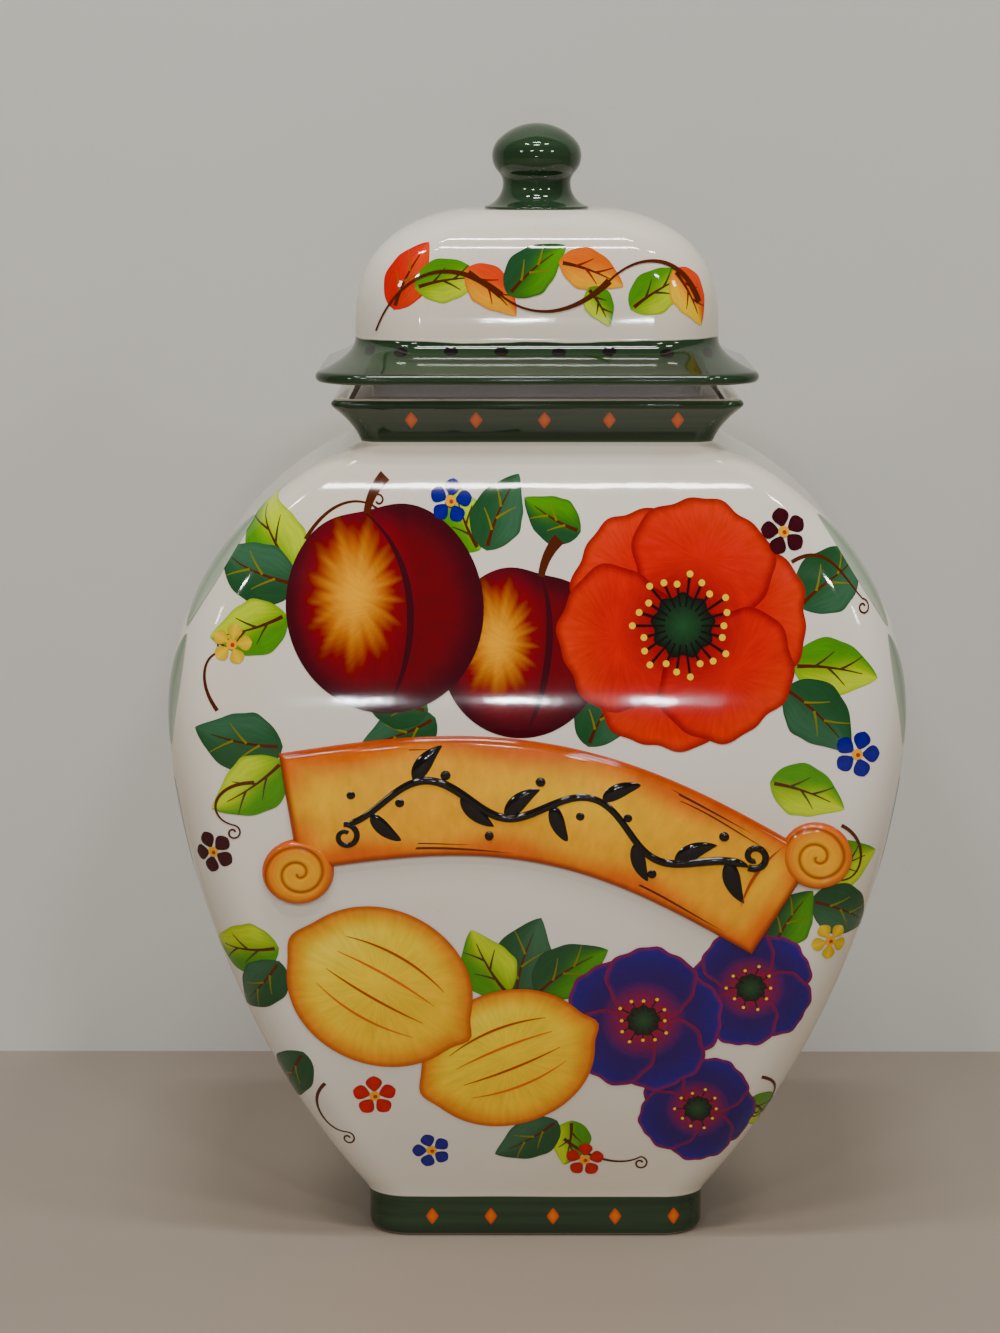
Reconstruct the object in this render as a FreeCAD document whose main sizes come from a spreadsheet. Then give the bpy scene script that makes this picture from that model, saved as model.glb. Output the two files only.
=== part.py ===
# Lidded ceramic biscuit jar: a flattened, full-bellied jar on a short foot, with a flared
# square-cornered rim, a domed lid with a swept skirt, a turned knob and a soft sealing ring.
# Millimetres. The origin is on the table under the middle of the jar, +Z is up and the
# decorated front faces -Y.
import FreeCAD
import Part
import Sketcher

import math
import os

# Every size that can be set by itself, under the name that the whole model refers to.
SIZES = {
    # Jar body, from the table up
    "foot_width": 97.0,
    "foot_depth": 66.0,
    "foot_height": 12.0,
    "foot_corner": 12.0,
    "foot_edge_round": 2.5,
    "foot_ring_width": 8.0,
    "foot_recess": 3.0,
    "belly_width": 206.0,
    "belly_depth": 124.0,
    "belly_corner": 15.0,
    "belly_height": 156.0,
    "bulge_height": 138.0,
    "shoulder_fullness": 2.1,
    "waist_fullness": 1.6,
    "neck_width": 98.8,
    "neck_depth": 68.0,
    "neck_corner": 7.0,
    "neck_height": 231.0,
    "rim_width": 115.0,
    "rim_depth": 84.0,
    "rim_corner": 4.5,
    "rim_top": 243.8,
    "rim_hollow": 1.2,
    "lip_round": 1.4,
    "wall": 5.0,
    "least_corner": 2.5,
    # Lid
    "lid_gap": 4.2,
    "skirt_width": 124.0,
    "skirt_depth": 93.0,
    "skirt_corner": 15.0,
    "lip_height": 3.2,
    "lip_set_back": 1.6,
    "skirt_rise": 10.7,
    "skirt_hollow": 2.2,
    "dome_width": 103.0,
    "dome_depth": 66.0,
    "dome_corner": 19.0,
    "dome_rise": 36.3,
    "dome_fullness": 2.9,
    "crown_width": 44.0,
    "crown_depth": 33.0,
    "crown_corner": 15.5,
    "lid_wall": 4.5,
    "collar_drop": 12.0,
    "collar_wall": 3.8,
    "collar_corner": 5.0,
    "collar_play": 0.9,
    "least_hollow_corner": 2.0,
    # Knob
    "knob_base_width": 29.8,
    "knob_base_edge": 0.6,
    "knob_waist_width": 19.4,
    "knob_waist_height": 7.2,
    "knob_width": 25.6,
    "knob_ball_height": 14.9,
    "knob_height": 24.2,
    "knob_side_round": 6.8,
    # Sealing ring
    "seal_thickness": 3.0,
    "seal_drop": 7.0,
    "fin_thickness": 1.0,
    "fin_spacing": 3.2,
    "fin_corner": 6.5,
    "seal_clearance": 0.3,
    # Applied scroll on the front
    "scroll_width": 140.0,
    "scroll_band": 34.0,
    "scroll_height": 118.0,
    "scroll_arch": 16.0,
    "scroll_slope": -11.0,
    "scroll_curl": 9.5,
    "scroll_relief": 2.6,
}

# Shares of the way along each form at which it has a section
HALFWAY = 0.5
BELLY_STEPS_UP = (0.0, 0.24, 0.45, 0.63, 0.77, 0.87, 0.935, 0.975, 1.0)
BELLY_STEPS_DOWN = (1.0, 0.86, 0.7, 0.53, 0.36, 0.18)
DOME_STEPS = (0.0, 0.25, 0.47, 0.65, 0.79, 0.89, 0.96, 1.0)
SKIRT_STEPS = {"SkirtSweepLow": 0.36, "SkirtSweepHigh": 0.7}

# Two places closer than this are one, and a cutting form goes this much further than it has to
SAME_PLACE = 0.01
SPARE_REACH = 10

document = FreeCAD.newDocument("BiscuitJar")
sheet = document.addObject("Spreadsheet::Sheet", "Sizes")
for row, (alias, number) in enumerate(SIZES.items(), start=1):
    sheet.set(f"A{row}", alias)
    sheet.set(f"B{row}", str(number))
    sheet.setAlias(f"B{row}", alias)
document.recompute()


# Expressions for places and sizes that follow from the sheet
def cell(alias):
    return f"Sizes.{alias}"


def reach(end_half, full_half, fullness):
    """How far up a full curve, as a share of its height, the half-width has drawn in to the end."""
    return f"pow(1 - pow(({end_half}) / ({full_half}); {fullness}); 1 / {fullness})"


def drawn_in(share, full_half, end_half, fullness):
    """Half-width of a full curve at a share of the way from its widest place to its end."""
    height_share = f"({share}) * {reach(end_half, full_half, fullness)}"
    return f"({full_half}) * pow(1 - pow({height_share}; {fullness}); 1 / {fullness})"


def between(low, high, share):
    return f"({low}) + (({high}) - ({low})) * ({share})"


def value_of(expression):
    return float(sheet.evalExpression(expression))


# Sketches and features
def origin_plane(body, role):
    return next(item for item in body.Origin.OriginFeatures if item.Role == role)


def new_body(label):
    body = document.addObject("PartDesign::Body", label)
    body.Label = label
    return body


def new_sketch(body, name, plane="XY_Plane", height=None):
    sketch = body.newObject("Sketcher::SketchObject", name)
    sketch.AttachmentSupport = (origin_plane(body, plane), "")
    sketch.MapMode = "FlatFace"
    if height is not None:
        sketch.setExpression("AttachmentOffset.Base.z", height)
    return sketch


def constrain(sketch, kind, *places):
    return sketch.addConstraint(Sketcher.Constraint(kind, *places))


def bind(sketch, name, expression, kind, *places):
    """Add a sized constraint, name it and tie it to the sheet."""
    index = constrain(sketch, kind, *places, value_of(expression))
    sketch.renameConstraint(index, name)
    sketch.setExpression(f"Constraints.{name}", expression)


def rounded_rectangle(body, name, half_width, half_depth, corner, height):
    """Sketch a rectangle with round corners, centred on the upright axis, at a height."""
    sketch = new_sketch(body, name, height=height)
    x = value_of(half_width)
    y = value_of(half_depth)
    r = value_of(corner)
    point = FreeCAD.Vector
    sides = [
        (point(x, r - y), point(x, y - r)),
        (point(x - r, y), point(r - x, y)),
        (point(-x, y - r), point(-x, r - y)),
        (point(r - x, -y), point(x - r, -y)),
    ]
    centres = [point(x - r, y - r), point(r - x, y - r), point(r - x, r - y), point(x - r, r - y)]
    for (start, end), centre, quarter in zip(sides, centres, range(4)):
        sketch.addGeometry(Part.LineSegment(start, end))
        circle = Part.Circle(centre, point(0, 0, 1), r)
        turn = quarter * math.pi / 2
        sketch.addGeometry(Part.ArcOfCircle(circle, turn, turn + math.pi / 2))
    for quarter in range(4):
        side = 2 * quarter
        arc = side + 1
        following = (side + 2) % 8
        constrain(sketch, "Tangent", side, 2, arc, 1)
        constrain(sketch, "Tangent", arc, 2, following, 1)
        if quarter:
            constrain(sketch, "Equal", 1, arc)
    right, back, left, front = range(0, 8, 2)
    for side in (right, left):
        constrain(sketch, "Vertical", side)
    for side in (back, front):
        constrain(sketch, "Horizontal", side)
    constrain(sketch, "Symmetric", right, 1, left, 1, -1, 1)
    bind(sketch, "half_width", half_width, "DistanceX", -1, 1, right, 1)
    bind(sketch, "half_depth", half_depth, "DistanceY", -1, 1, back, 1)
    bind(sketch, "corner", corner, "Radius", right + 1)
    return sketch


def loft(body, name, sketches, cutting=False, ruled=False):
    kind = "PartDesign::SubtractiveLoft" if cutting else "PartDesign::AdditiveLoft"
    feature = body.newObject(kind, name)
    feature.Profile = sketches[0]
    feature.Sections = sketches[1:]
    feature.Ruled = ruled
    document.recompute()
    return feature


def pad(body, name, sketch, length):
    feature = body.newObject("PartDesign::Pad", name)
    feature.Profile = sketch
    feature.setExpression("Length", length)
    document.recompute()
    return feature


def cut_away(body, name, sketch, depth, reversed_cut=False):
    """Pocket that is checked to remove something."""
    before = body.Shape.Volume
    feature = body.newObject("PartDesign::Pocket", name)
    feature.Profile = sketch
    feature.Reversed = reversed_cut
    feature.setExpression("Length", depth)
    document.recompute()
    if body.Shape.Volume >= before:
        raise RuntimeError(f"{name} removed nothing")
    return feature


def edges_where(shape, wanted):
    return [f"Edge{i}" for i, edge in enumerate(shape.Edges, start=1) if wanted(edge)]


def lies_at(height):
    """Test for edges that lie flat at one height."""
    def test(edge):
        box = edge.BoundBox
        return max(abs(box.ZMin - height), abs(box.ZMax - height)) < SAME_PLACE
    return test


def round_edges(body, name, wanted, radius):
    base = body.Tip
    feature = body.newObject("PartDesign::Fillet", name)
    feature.Base = (base, edges_where(base.Shape, wanted))
    feature.setExpression("Radius", radius)
    document.recompute()
    return feature


# Places that several pieces share
HALF_FOOT = (f"{cell('foot_width')} / 2", f"{cell('foot_depth')} / 2")
HALF_BELLY = (f"{cell('belly_width')} / 2", f"{cell('belly_depth')} / 2")
HALF_NECK = (f"{cell('neck_width')} / 2", f"{cell('neck_depth')} / 2")
HALF_RIM = (f"{cell('rim_width')} / 2", f"{cell('rim_depth')} / 2")
LID_BASE = f"{cell('rim_top')} + {cell('lid_gap')}"
DOME_BASE = f"{LID_BASE} + {cell('skirt_rise')}"
CROWN_TOP = f"{DOME_BASE} + {cell('dome_rise')}"


def belly_section(body, name, height, inset, outset, lowest, highest, end_inset):
    """Section of the belly at a height, drawn in by the inset or out by the outset."""
    halves = []
    centres = (cell("belly_height"), cell("bulge_height"))
    for full, neck, foot, centre in zip(HALF_BELLY, HALF_NECK, HALF_FOOT, centres):
        full_half = f"({full} - {inset} + {outset})"
        up_share = f"(({height}) - {centre}) / (({highest}) - {centre})"
        down_share = f"({centre} - ({height})) / ({centre} - ({lowest}))"
        neck_half = f"({neck} - {end_inset} + {outset})"
        foot_half = f"({foot} - {end_inset} + {outset})"
        upper = drawn_in(up_share, full_half, neck_half, cell("shoulder_fullness"))
        lower = drawn_in(down_share, full_half, foot_half, cell("waist_fullness"))
        above = value_of(height) >= value_of(centre)
        halves.append(upper if above else lower)
    above = value_of(height) >= value_of(cell("belly_height"))
    if above:
        share = f"(({height}) - {cell('belly_height')}) / (({highest}) - {cell('belly_height')})"
        end_corner = cell("neck_corner")
    else:
        share = f"({cell('belly_height')} - ({height})) / ({cell('belly_height')} - ({lowest}))"
        end_corner = cell("foot_corner")
    outer_corner = between(cell("belly_corner"), end_corner, f"pow({share}; 2)")
    corner = f"max({outer_corner} - {inset} + {outset}; {cell('least_corner')})"
    return rounded_rectangle(body, name, halves[0], halves[1], corner, height)


def belly_loft(body, name, inset="0", outset="0", cutting=False, lowest=None, highest=None):
    """Belly from the foot's top to the neck: smooth outside, in straight bands inside."""
    lowest = lowest or cell("foot_height")
    highest = highest or cell("neck_height")
    middle = cell("belly_height")
    heights = [between(middle, lowest, share) for share in BELLY_STEPS_DOWN]
    heights += [between(middle, highest, share) for share in BELLY_STEPS_UP]
    sections = [
        belly_section(body, f"{name}Section{i}", height, inset, outset, lowest, highest, inset)
        for i, height in enumerate(heights, start=1)
    ]
    return loft(body, name, sections, cutting, ruled=cutting)


def make_jar_body():
    body = new_body("jar_body")
    foot = rounded_rectangle(body, "FootPlan", *HALF_FOOT, cell("foot_corner"), "0")
    pad(body, "Foot", foot, cell("foot_height"))
    belly_loft(body, "Belly")

    neck = rounded_rectangle(body, "NeckPlan", *HALF_NECK, cell("neck_corner"), cell("neck_height"))
    flare_height = between(cell("neck_height"), cell("rim_top"), HALFWAY)
    flare_halves = [
        between(narrow, wide, HALFWAY) + f" - {cell('rim_hollow')}"
        for narrow, wide in zip(HALF_NECK, HALF_RIM)
    ]
    flare_corner = between(cell("neck_corner"), cell("rim_corner"), HALFWAY)
    flare = rounded_rectangle(body, "FlarePlan", *flare_halves, flare_corner, flare_height)
    rim = rounded_rectangle(body, "RimPlan", *HALF_RIM, cell("rim_corner"), cell("rim_top"))
    loft(body, "Rim", [neck, flare, rim])

    throat_height = f"({cell('neck_height')} - {cell('wall')})"
    belly_loft(body, "Cavity", inset=cell("wall"), cutting=True, highest=throat_height)
    floor_halves = [f"{half} - {cell('wall')}" for half in HALF_FOOT]
    floor_corner = f"{cell('foot_corner')} - {cell('wall')}"
    floor = rounded_rectangle(body, "FloorPlan", *floor_halves, floor_corner, cell("foot_height"))
    floor_depth = f"{cell('foot_height')} - {cell('foot_recess')} - {cell('wall')}"
    cut_away(body, "Floor", floor, floor_depth)

    throat_halves = [f"{half} - {cell('wall')}" for half in HALF_NECK]
    throat_corner = throat_corner_expression()
    throat = rounded_rectangle(body, "ThroatPlan", *throat_halves, throat_corner, throat_height)
    narrowest = (*throat_halves, throat_corner, cell("neck_height"))
    mouth_foot = rounded_rectangle(body, "MouthFootPlan", *narrowest)
    loft(body, "Throat", [throat, mouth_foot], cutting=True, ruled=True)
    mouth = rounded_rectangle(body, "MouthPlan", *mouth_halves(), throat_corner, cell("rim_top"))
    mouth_start = rounded_rectangle(body, "MouthStartPlan", *narrowest)
    loft(body, "Mouth", [mouth_start, mouth], cutting=True, ruled=True)

    ring_halves = [f"{half} - {cell('foot_ring_width')}" for half in HALF_FOOT]
    ring_corner = f"{cell('foot_corner')} - {cell('foot_ring_width')} / 2"
    recess = rounded_rectangle(body, "RecessPlan", *ring_halves, ring_corner, "0")
    cut_away(body, "FootRecess", recess, cell("foot_recess"), reversed_cut=True)

    ring_x, ring_y = [value_of(half) + SAME_PLACE for half in ring_halves]

    def on_foot_edge(edge):
        """Flat on the table, and outside the recess."""
        box = edge.BoundBox
        reach_x = max(abs(box.XMin), abs(box.XMax))
        reach_y = max(abs(box.YMin), abs(box.YMax))
        in_recess = reach_x <= ring_x and reach_y <= ring_y
        return lies_at(0)(edge) and not in_recess

    round_edges(body, "FootRound", on_foot_edge, cell("foot_edge_round"))
    round_edges(body, "LipRound", lies_at(value_of(cell("rim_top"))), cell("lip_round"))
    return body


def throat_corner_expression():
    return f"max({cell('neck_corner')} - {cell('wall')}; {cell('least_corner')})"


def mouth_halves():
    return [f"{half} - {cell('wall')}" for half in HALF_RIM]


def make_lid_shell():
    body = new_body("lid_shell")
    skirt_halves = (f"{cell('skirt_width')} / 2", f"{cell('skirt_depth')} / 2")
    dome_halves = (f"{cell('dome_width')} / 2", f"{cell('dome_depth')} / 2")
    crown_halves = (f"{cell('crown_width')} / 2", f"{cell('crown_depth')} / 2")
    lip_top = f"{LID_BASE} + {cell('lip_height')}"

    # A lip that is widest halfway up, then a sweep that is hollowest halfway to the dome
    set_back = [f"{half} - {cell('lip_set_back')}" for half in skirt_halves]
    corner = f"{cell('skirt_corner')} - {cell('lip_set_back')}"
    widest = between(LID_BASE, lip_top, HALFWAY)
    sections = [
        rounded_rectangle(body, "SkirtUnder", *set_back, corner, LID_BASE),
        rounded_rectangle(body, "SkirtLip", *skirt_halves, cell("skirt_corner"), widest),
        rounded_rectangle(body, "SkirtShoulder", *set_back, corner, lip_top),
    ]
    for name, share in SKIRT_STEPS.items():
        hollowness = round(share * (1 - share) / HALFWAY ** 2, 3)
        halves = [
            between(out, dome, share) + f" - {cell('skirt_hollow')} * {hollowness}"
            for out, dome in zip(set_back, dome_halves)
        ]
        sweep_corner = between(corner, cell("dome_corner"), share)
        sweep_height = between(lip_top, DOME_BASE, share)
        sections.append(rounded_rectangle(body, name, *halves, sweep_corner, sweep_height))
    sections.append(rounded_rectangle(body, "SkirtTop", *dome_halves, cell("dome_corner"), DOME_BASE))
    loft(body, "Skirt", sections)

    corners = (cell("dome_corner"), cell("crown_corner"))
    loft(body, "Dome", dome_sections(body, "Dome", dome_halves, crown_halves, *corners, CROWN_TOP))

    collar_halves = collar_outer_halves()
    collar_bottom = f"{LID_BASE} - {cell('collar_drop')}"
    collar = rounded_rectangle(body, "CollarPlan", *collar_halves, cell("collar_corner"), collar_bottom)
    pad(body, "Collar", collar, cell("collar_drop"))

    # Hollow: straight inside the collar, then widening to the dome's own curve
    inner_collar = [f"{half} - {cell('collar_wall')}" for half in collar_halves]
    inner_dome = [f"{half} - {cell('lid_wall')}" for half in dome_halves]
    inner_crown = [f"{half} - {cell('lid_wall')}" for half in crown_halves]
    sharpest = cell("least_hollow_corner")
    collar_round = f"max({cell('collar_corner')} - {cell('collar_wall')}; {sharpest})"
    dome_round = f"{cell('dome_corner')} - {cell('lid_wall')}"
    crown_round = f"{cell('crown_corner')} - {cell('lid_wall')}"
    low = rounded_rectangle(body, "HollowMouth", *inner_collar, collar_round, collar_bottom)
    high = rounded_rectangle(body, "HollowThroat", *inner_collar, collar_round, LID_BASE)
    loft(body, "CollarHollow", [low, high], cutting=True, ruled=True)
    spread = rounded_rectangle(body, "HollowSpread", *inner_collar, collar_round, LID_BASE)
    eave = rounded_rectangle(body, "HollowEave", *inner_dome, dome_round, DOME_BASE)
    loft(body, "SkirtHollow", [spread, eave], cutting=True, ruled=True)
    ceiling = f"{CROWN_TOP} - {cell('lid_wall')}"
    hollow = dome_sections(body, "Hollow", inner_dome, inner_crown, dome_round, crown_round, ceiling)
    loft(body, "DomeHollow", hollow, cutting=True, ruled=True)
    return body


def dome_sections(body, name, base_halves, top_halves, base_corner, top_corner, top):
    """Sections of a dome that draws in slowly and then turns over to a nearly flat crown."""
    sections = []
    for i, share in enumerate(DOME_STEPS, start=1):
        halves = [
            drawn_in(str(share), base, crown, cell("dome_fullness"))
            for base, crown in zip(base_halves, top_halves)
        ]
        corner = between(base_corner, top_corner, share)
        height = between(DOME_BASE, top, share)
        sections.append(rounded_rectangle(body, f"{name}Section{i}", *halves, corner, height))
    return sections


def collar_outer_halves():
    """The collar and the ring round it drop through the throat with room to spare."""
    room = f"{cell('wall')} - {cell('seal_clearance')} - {cell('collar_play')}"
    return [f"{half} - {room}" for half in HALF_NECK]


def make_lid_knob():
    body = new_body("lid_knob")
    sketch = new_sketch(body, "KnobProfile", "XZ_Plane")
    point = FreeCAD.Vector
    base = value_of(cell("knob_base_width")) / 2
    edge = value_of(cell("knob_base_edge"))
    waist = value_of(cell("knob_waist_width")) / 2
    waist_height = value_of(cell("knob_waist_height"))
    ball = value_of(cell("knob_width")) / 2
    ball_height = value_of(cell("knob_ball_height"))
    top = value_of(cell("knob_height"))
    side = value_of(cell("knob_side_round"))
    rise = ball_height - waist_height
    swell = ball - waist
    neck_round = (rise * rise + swell * swell) / (2 * swell) - side
    flare = ((base - waist) ** 2 + (waist_height - edge) ** 2) / (2 * (base - waist))
    side_centre = point(ball - side, ball_height)
    neck_centre = point(waist + neck_round, waist_height)
    join = side_centre + (neck_centre - side_centre) * (side / (side + neck_round))
    drop = top - ball_height
    crown = (drop * drop + side_centre.x ** 2 - side * side) / (2 * (drop - side))
    crown_centre = point(0, top - crown)
    outward = (side_centre - crown_centre).normalize()
    shoulder = side_centre + outward * side

    def arc(centre, radius, low, high):
        """Short arc between two points, and which of its ends is the lower one."""
        from_low = math.atan2(low.y - centre.y, low.x - centre.x)
        from_high = math.atan2(high.y - centre.y, high.x - centre.x)
        sweep_up = (from_high - from_low) % (2 * math.pi)
        circle = Part.Circle(centre, point(0, 0, 1), radius)
        if sweep_up < math.pi:
            return Part.ArcOfCircle(circle, from_low, from_low + sweep_up), (1, 2)
        return Part.ArcOfCircle(circle, from_high, from_high + 2 * math.pi - sweep_up), (2, 1)

    waist_point = point(waist, waist_height)
    bottom, rim, sweep, neck, cheek, cap, axis = range(7)
    arcs = {
        sweep: arc(point(waist + flare, waist_height), flare, point(base, edge), waist_point),
        neck: arc(neck_centre, neck_round, waist_point, join),
        cheek: arc(side_centre, side, join, shoulder),
        cap: arc(crown_centre, crown, shoulder, point(0, top)),
    }
    ends = {index: order for index, (shape, order) in arcs.items()}
    sketch.addGeometry(Part.LineSegment(point(0, 0), point(base, 0)))
    sketch.addGeometry(Part.LineSegment(point(base, 0), point(base, edge)))
    for shape, order in arcs.values():
        sketch.addGeometry(shape)
    sketch.addGeometry(Part.LineSegment(point(0, top), point(0, 0)))
    constrain(sketch, "Coincident", bottom, 1, -1, 1)
    constrain(sketch, "Horizontal", bottom)
    constrain(sketch, "Coincident", bottom, 2, rim, 1)
    constrain(sketch, "Vertical", rim)
    constrain(sketch, "Coincident", rim, 2, sweep, ends[sweep][0])
    constrain(sketch, "Tangent", sweep, ends[sweep][1], neck, ends[neck][0])
    constrain(sketch, "Tangent", neck, ends[neck][1], cheek, ends[cheek][0])
    constrain(sketch, "Tangent", cheek, ends[cheek][1], cap, ends[cap][0])
    constrain(sketch, "Coincident", cap, ends[cap][1], axis, 1)
    constrain(sketch, "Coincident", axis, 2, bottom, 1)
    constrain(sketch, "Vertical", axis)
    constrain(sketch, "PointOnObject", cap, 3, -2)
    constrain(sketch, "Horizontal", sweep, 3, sweep, ends[sweep][1])
    bind(sketch, "base", f"{cell('knob_base_width')} / 2", "DistanceX", -1, 1, bottom, 2)
    bind(sketch, "base_edge", cell("knob_base_edge"), "DistanceY", -1, 1, rim, 2)
    waist_half = f"{cell('knob_waist_width')} / 2"
    bind(sketch, "waist", waist_half, "DistanceX", -1, 1, sweep, ends[sweep][1])
    bind(sketch, "waist_height", cell("knob_waist_height"), "DistanceY", -1, 1, sweep, ends[sweep][1])
    bind(sketch, "side_round", cell("knob_side_round"), "Radius", cheek)
    cheek_centre = f"{cell('knob_width')} / 2 - {cell('knob_side_round')}"
    bind(sketch, "cheek_centre", cheek_centre, "DistanceX", -1, 1, cheek, 3)
    bind(sketch, "ball_height", cell("knob_ball_height"), "DistanceY", -1, 1, cheek, 3)
    bind(sketch, "height", cell("knob_height"), "DistanceY", -1, 1, axis, 1)
    turned = body.newObject("PartDesign::Revolution", "Turned")
    turned.Profile = sketch
    turned.ReferenceAxis = (sketch, ["V_Axis"])
    turned.Angle = 360
    body.setExpression("Placement.Base.z", CROWN_TOP)
    document.recompute()
    return body


def make_lid_seal():
    """Soft ring round the collar, with two thin fins that follow the mouth's slope."""
    body = new_body("lid_seal")
    collar = collar_outer_halves()
    outer = [f"{half} + {cell('seal_thickness')}" for half in collar]
    bottom = f"{LID_BASE} - {cell('lid_gap')} - {cell('seal_drop')}"
    band_corner = f"{cell('collar_corner')} + {cell('seal_thickness')}"
    band = rounded_rectangle(body, "BandPlan", *outer, band_corner, bottom)
    pad(body, "Band", band, f"{cell('lid_gap')} + {cell('seal_drop')}")
    for number in (1, 2):
        low = f"{bottom} + {cell('fin_spacing')} * {number} - {cell('fin_thickness')}"
        share = f"(({low}) - {cell('neck_height')}) / ({cell('rim_top')} - {cell('neck_height')})"
        fin_halves = [
            f"{between(neck + ' - ' + cell('wall'), mouth, share)} - {cell('seal_clearance')}"
            for neck, mouth in zip(HALF_NECK, mouth_halves())
        ]
        fin = rounded_rectangle(body, f"Fin{number}Plan", *fin_halves, cell("fin_corner"), low)
        pad(body, f"Fin{number}", fin, cell("fin_thickness"))
    bore = rounded_rectangle(body, "BorePlan", *collar, cell("collar_corner"), bottom)
    cut_away(body, "Bore", bore, f"{cell('lid_gap')} + {cell('seal_drop')}", reversed_cut=True)
    return body


def make_scroll():
    """Applied scroll: an arched ribbon with rolled ends, its back fitted to the belly."""
    outer = document.addObject("PartDesign::Body", "ScrollOuterForm")
    belly_loft(outer, "ReliefForm", outset=cell("scroll_relief"))
    inner = document.addObject("PartDesign::Body", "ScrollInnerForm")
    belly_loft(inner, "BellyForm")

    blank = document.addObject("Part::Feature", "ScrollBlank")
    blank.Shape = scroll_prism()
    skin = document.addObject("Part::Cut", "ScrollSkin")
    skin.Base = outer
    skin.Tool = inner
    scroll = document.addObject("Part::Common", "scroll_panel")
    scroll.Base = skin
    scroll.Tool = blank
    scroll.Label = "scroll_panel"
    document.recompute()
    return scroll


def scroll_prism():
    """Ribbon outline, carried straight back through the front of the belly."""
    half = value_of(cell("scroll_width")) / 2
    band = value_of(cell("scroll_band"))
    arch = value_of(cell("scroll_arch"))
    curl = value_of(cell("scroll_curl"))
    height = value_of(cell("scroll_height"))
    point = FreeCAD.Vector

    def along(share, off):
        """Point of the ribbon: a low arch, drawn off square to it by the offset."""
        x = half * share
        z = arch * math.cos(share * math.pi / 2)
        slope = -arch * math.pi / 2 / half * math.sin(share * math.pi / 2)
        length = math.hypot(1, slope)
        return point(x - slope / length * off, 0, z + off / length)

    upper = Part.Arc(along(-1, band / 2), along(0, band / 2), along(1, band / 2))
    lower = Part.Arc(along(1, -band / 2), along(0, -band / 2), along(-1, -band / 2))
    right_end = Part.LineSegment(along(1, band / 2), along(1, -band / 2))
    left_end = Part.LineSegment(along(-1, -band / 2), along(-1, band / 2))
    ribbon = Part.Face(Part.Wire([s.toShape() for s in (upper, right_end, lower, left_end)]))
    reach_back = value_of(HALF_BELLY[1]) + value_of(cell("scroll_relief")) + SPARE_REACH
    pieces = [ribbon.extrude(point(0, reach_back, 0))]
    for side in (-1, 1):
        centre = along(side, side * band / 2)
        pieces.append(Part.makeCylinder(curl, reach_back, centre, point(0, 1, 0)))
    prism = pieces[0].multiFuse(pieces[1:]).removeSplitter()
    prism.rotate(point(0, 0, 0), point(0, 1, 0), -value_of(cell("scroll_slope")))
    prism.translate(point(0, -reach_back, height))
    return prism


def report_and_write(parts):
    failed = [item.Name for item in document.Objects if {"Invalid", "Error"} & set(item.State)]
    if failed:
        raise RuntimeError("failed objects: " + ", ".join(failed))
    for part in parts:
        if part.Shape.isNull() or not part.Shape.isValid():
            raise RuntimeError(f"{part.Label} has no valid shape")
    os.makedirs("parts", exist_ok=True)
    for part in parts:
        shape = part.Shape
        box = shape.BoundBox
        corners = [(round(low, 1), round(high, 1)) for low, high in
                   ((box.XMin, box.XMax), (box.YMin, box.YMax), (box.ZMin, box.ZMax))]
        print(part.Label, "solids", len(shape.Solids), "volume", round(shape.Volume), "box", *corners)
        shape.exportStep(f"parts/{part.Label}.step")


report_and_write([make_jar_body(), make_scroll(), make_lid_shell(), make_lid_knob(), make_lid_seal()])
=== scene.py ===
import math

import bmesh
import bpy
import numpy as np
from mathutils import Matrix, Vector


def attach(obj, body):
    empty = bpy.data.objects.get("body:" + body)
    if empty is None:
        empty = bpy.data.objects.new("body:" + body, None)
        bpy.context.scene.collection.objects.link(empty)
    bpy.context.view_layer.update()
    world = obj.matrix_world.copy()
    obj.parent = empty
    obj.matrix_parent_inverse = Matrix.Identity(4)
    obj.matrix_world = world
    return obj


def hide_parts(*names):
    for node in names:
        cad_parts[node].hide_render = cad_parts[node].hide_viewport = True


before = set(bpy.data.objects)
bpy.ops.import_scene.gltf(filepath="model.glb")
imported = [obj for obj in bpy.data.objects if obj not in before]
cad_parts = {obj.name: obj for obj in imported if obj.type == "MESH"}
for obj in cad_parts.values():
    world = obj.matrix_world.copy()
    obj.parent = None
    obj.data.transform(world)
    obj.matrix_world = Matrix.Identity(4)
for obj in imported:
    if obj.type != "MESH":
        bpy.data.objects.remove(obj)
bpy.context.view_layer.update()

mm = 0.001
print("frame loaded")


# Small tools

def smoothStep(low, high, value):
    share = np.clip((value - low) / (high - low), 0, 1)
    return share * share * (3 - 2 * share)


def between(low, high, share):
    return low + (high - low) * share


def drawnIn(share, full, end, fullness):
    # Full curve: half width falls from full to end as the share goes from 0 to 1,
    # half = full * (1 - (share * reach)^n)^(1/n), where reach makes it arrive at end.
    reach = (1 - (end / full) ** fullness) ** (1 / fullness)
    return full * (1 - (np.clip(share, 0, 1) * reach) ** fullness) ** (1 / fullness)


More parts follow.
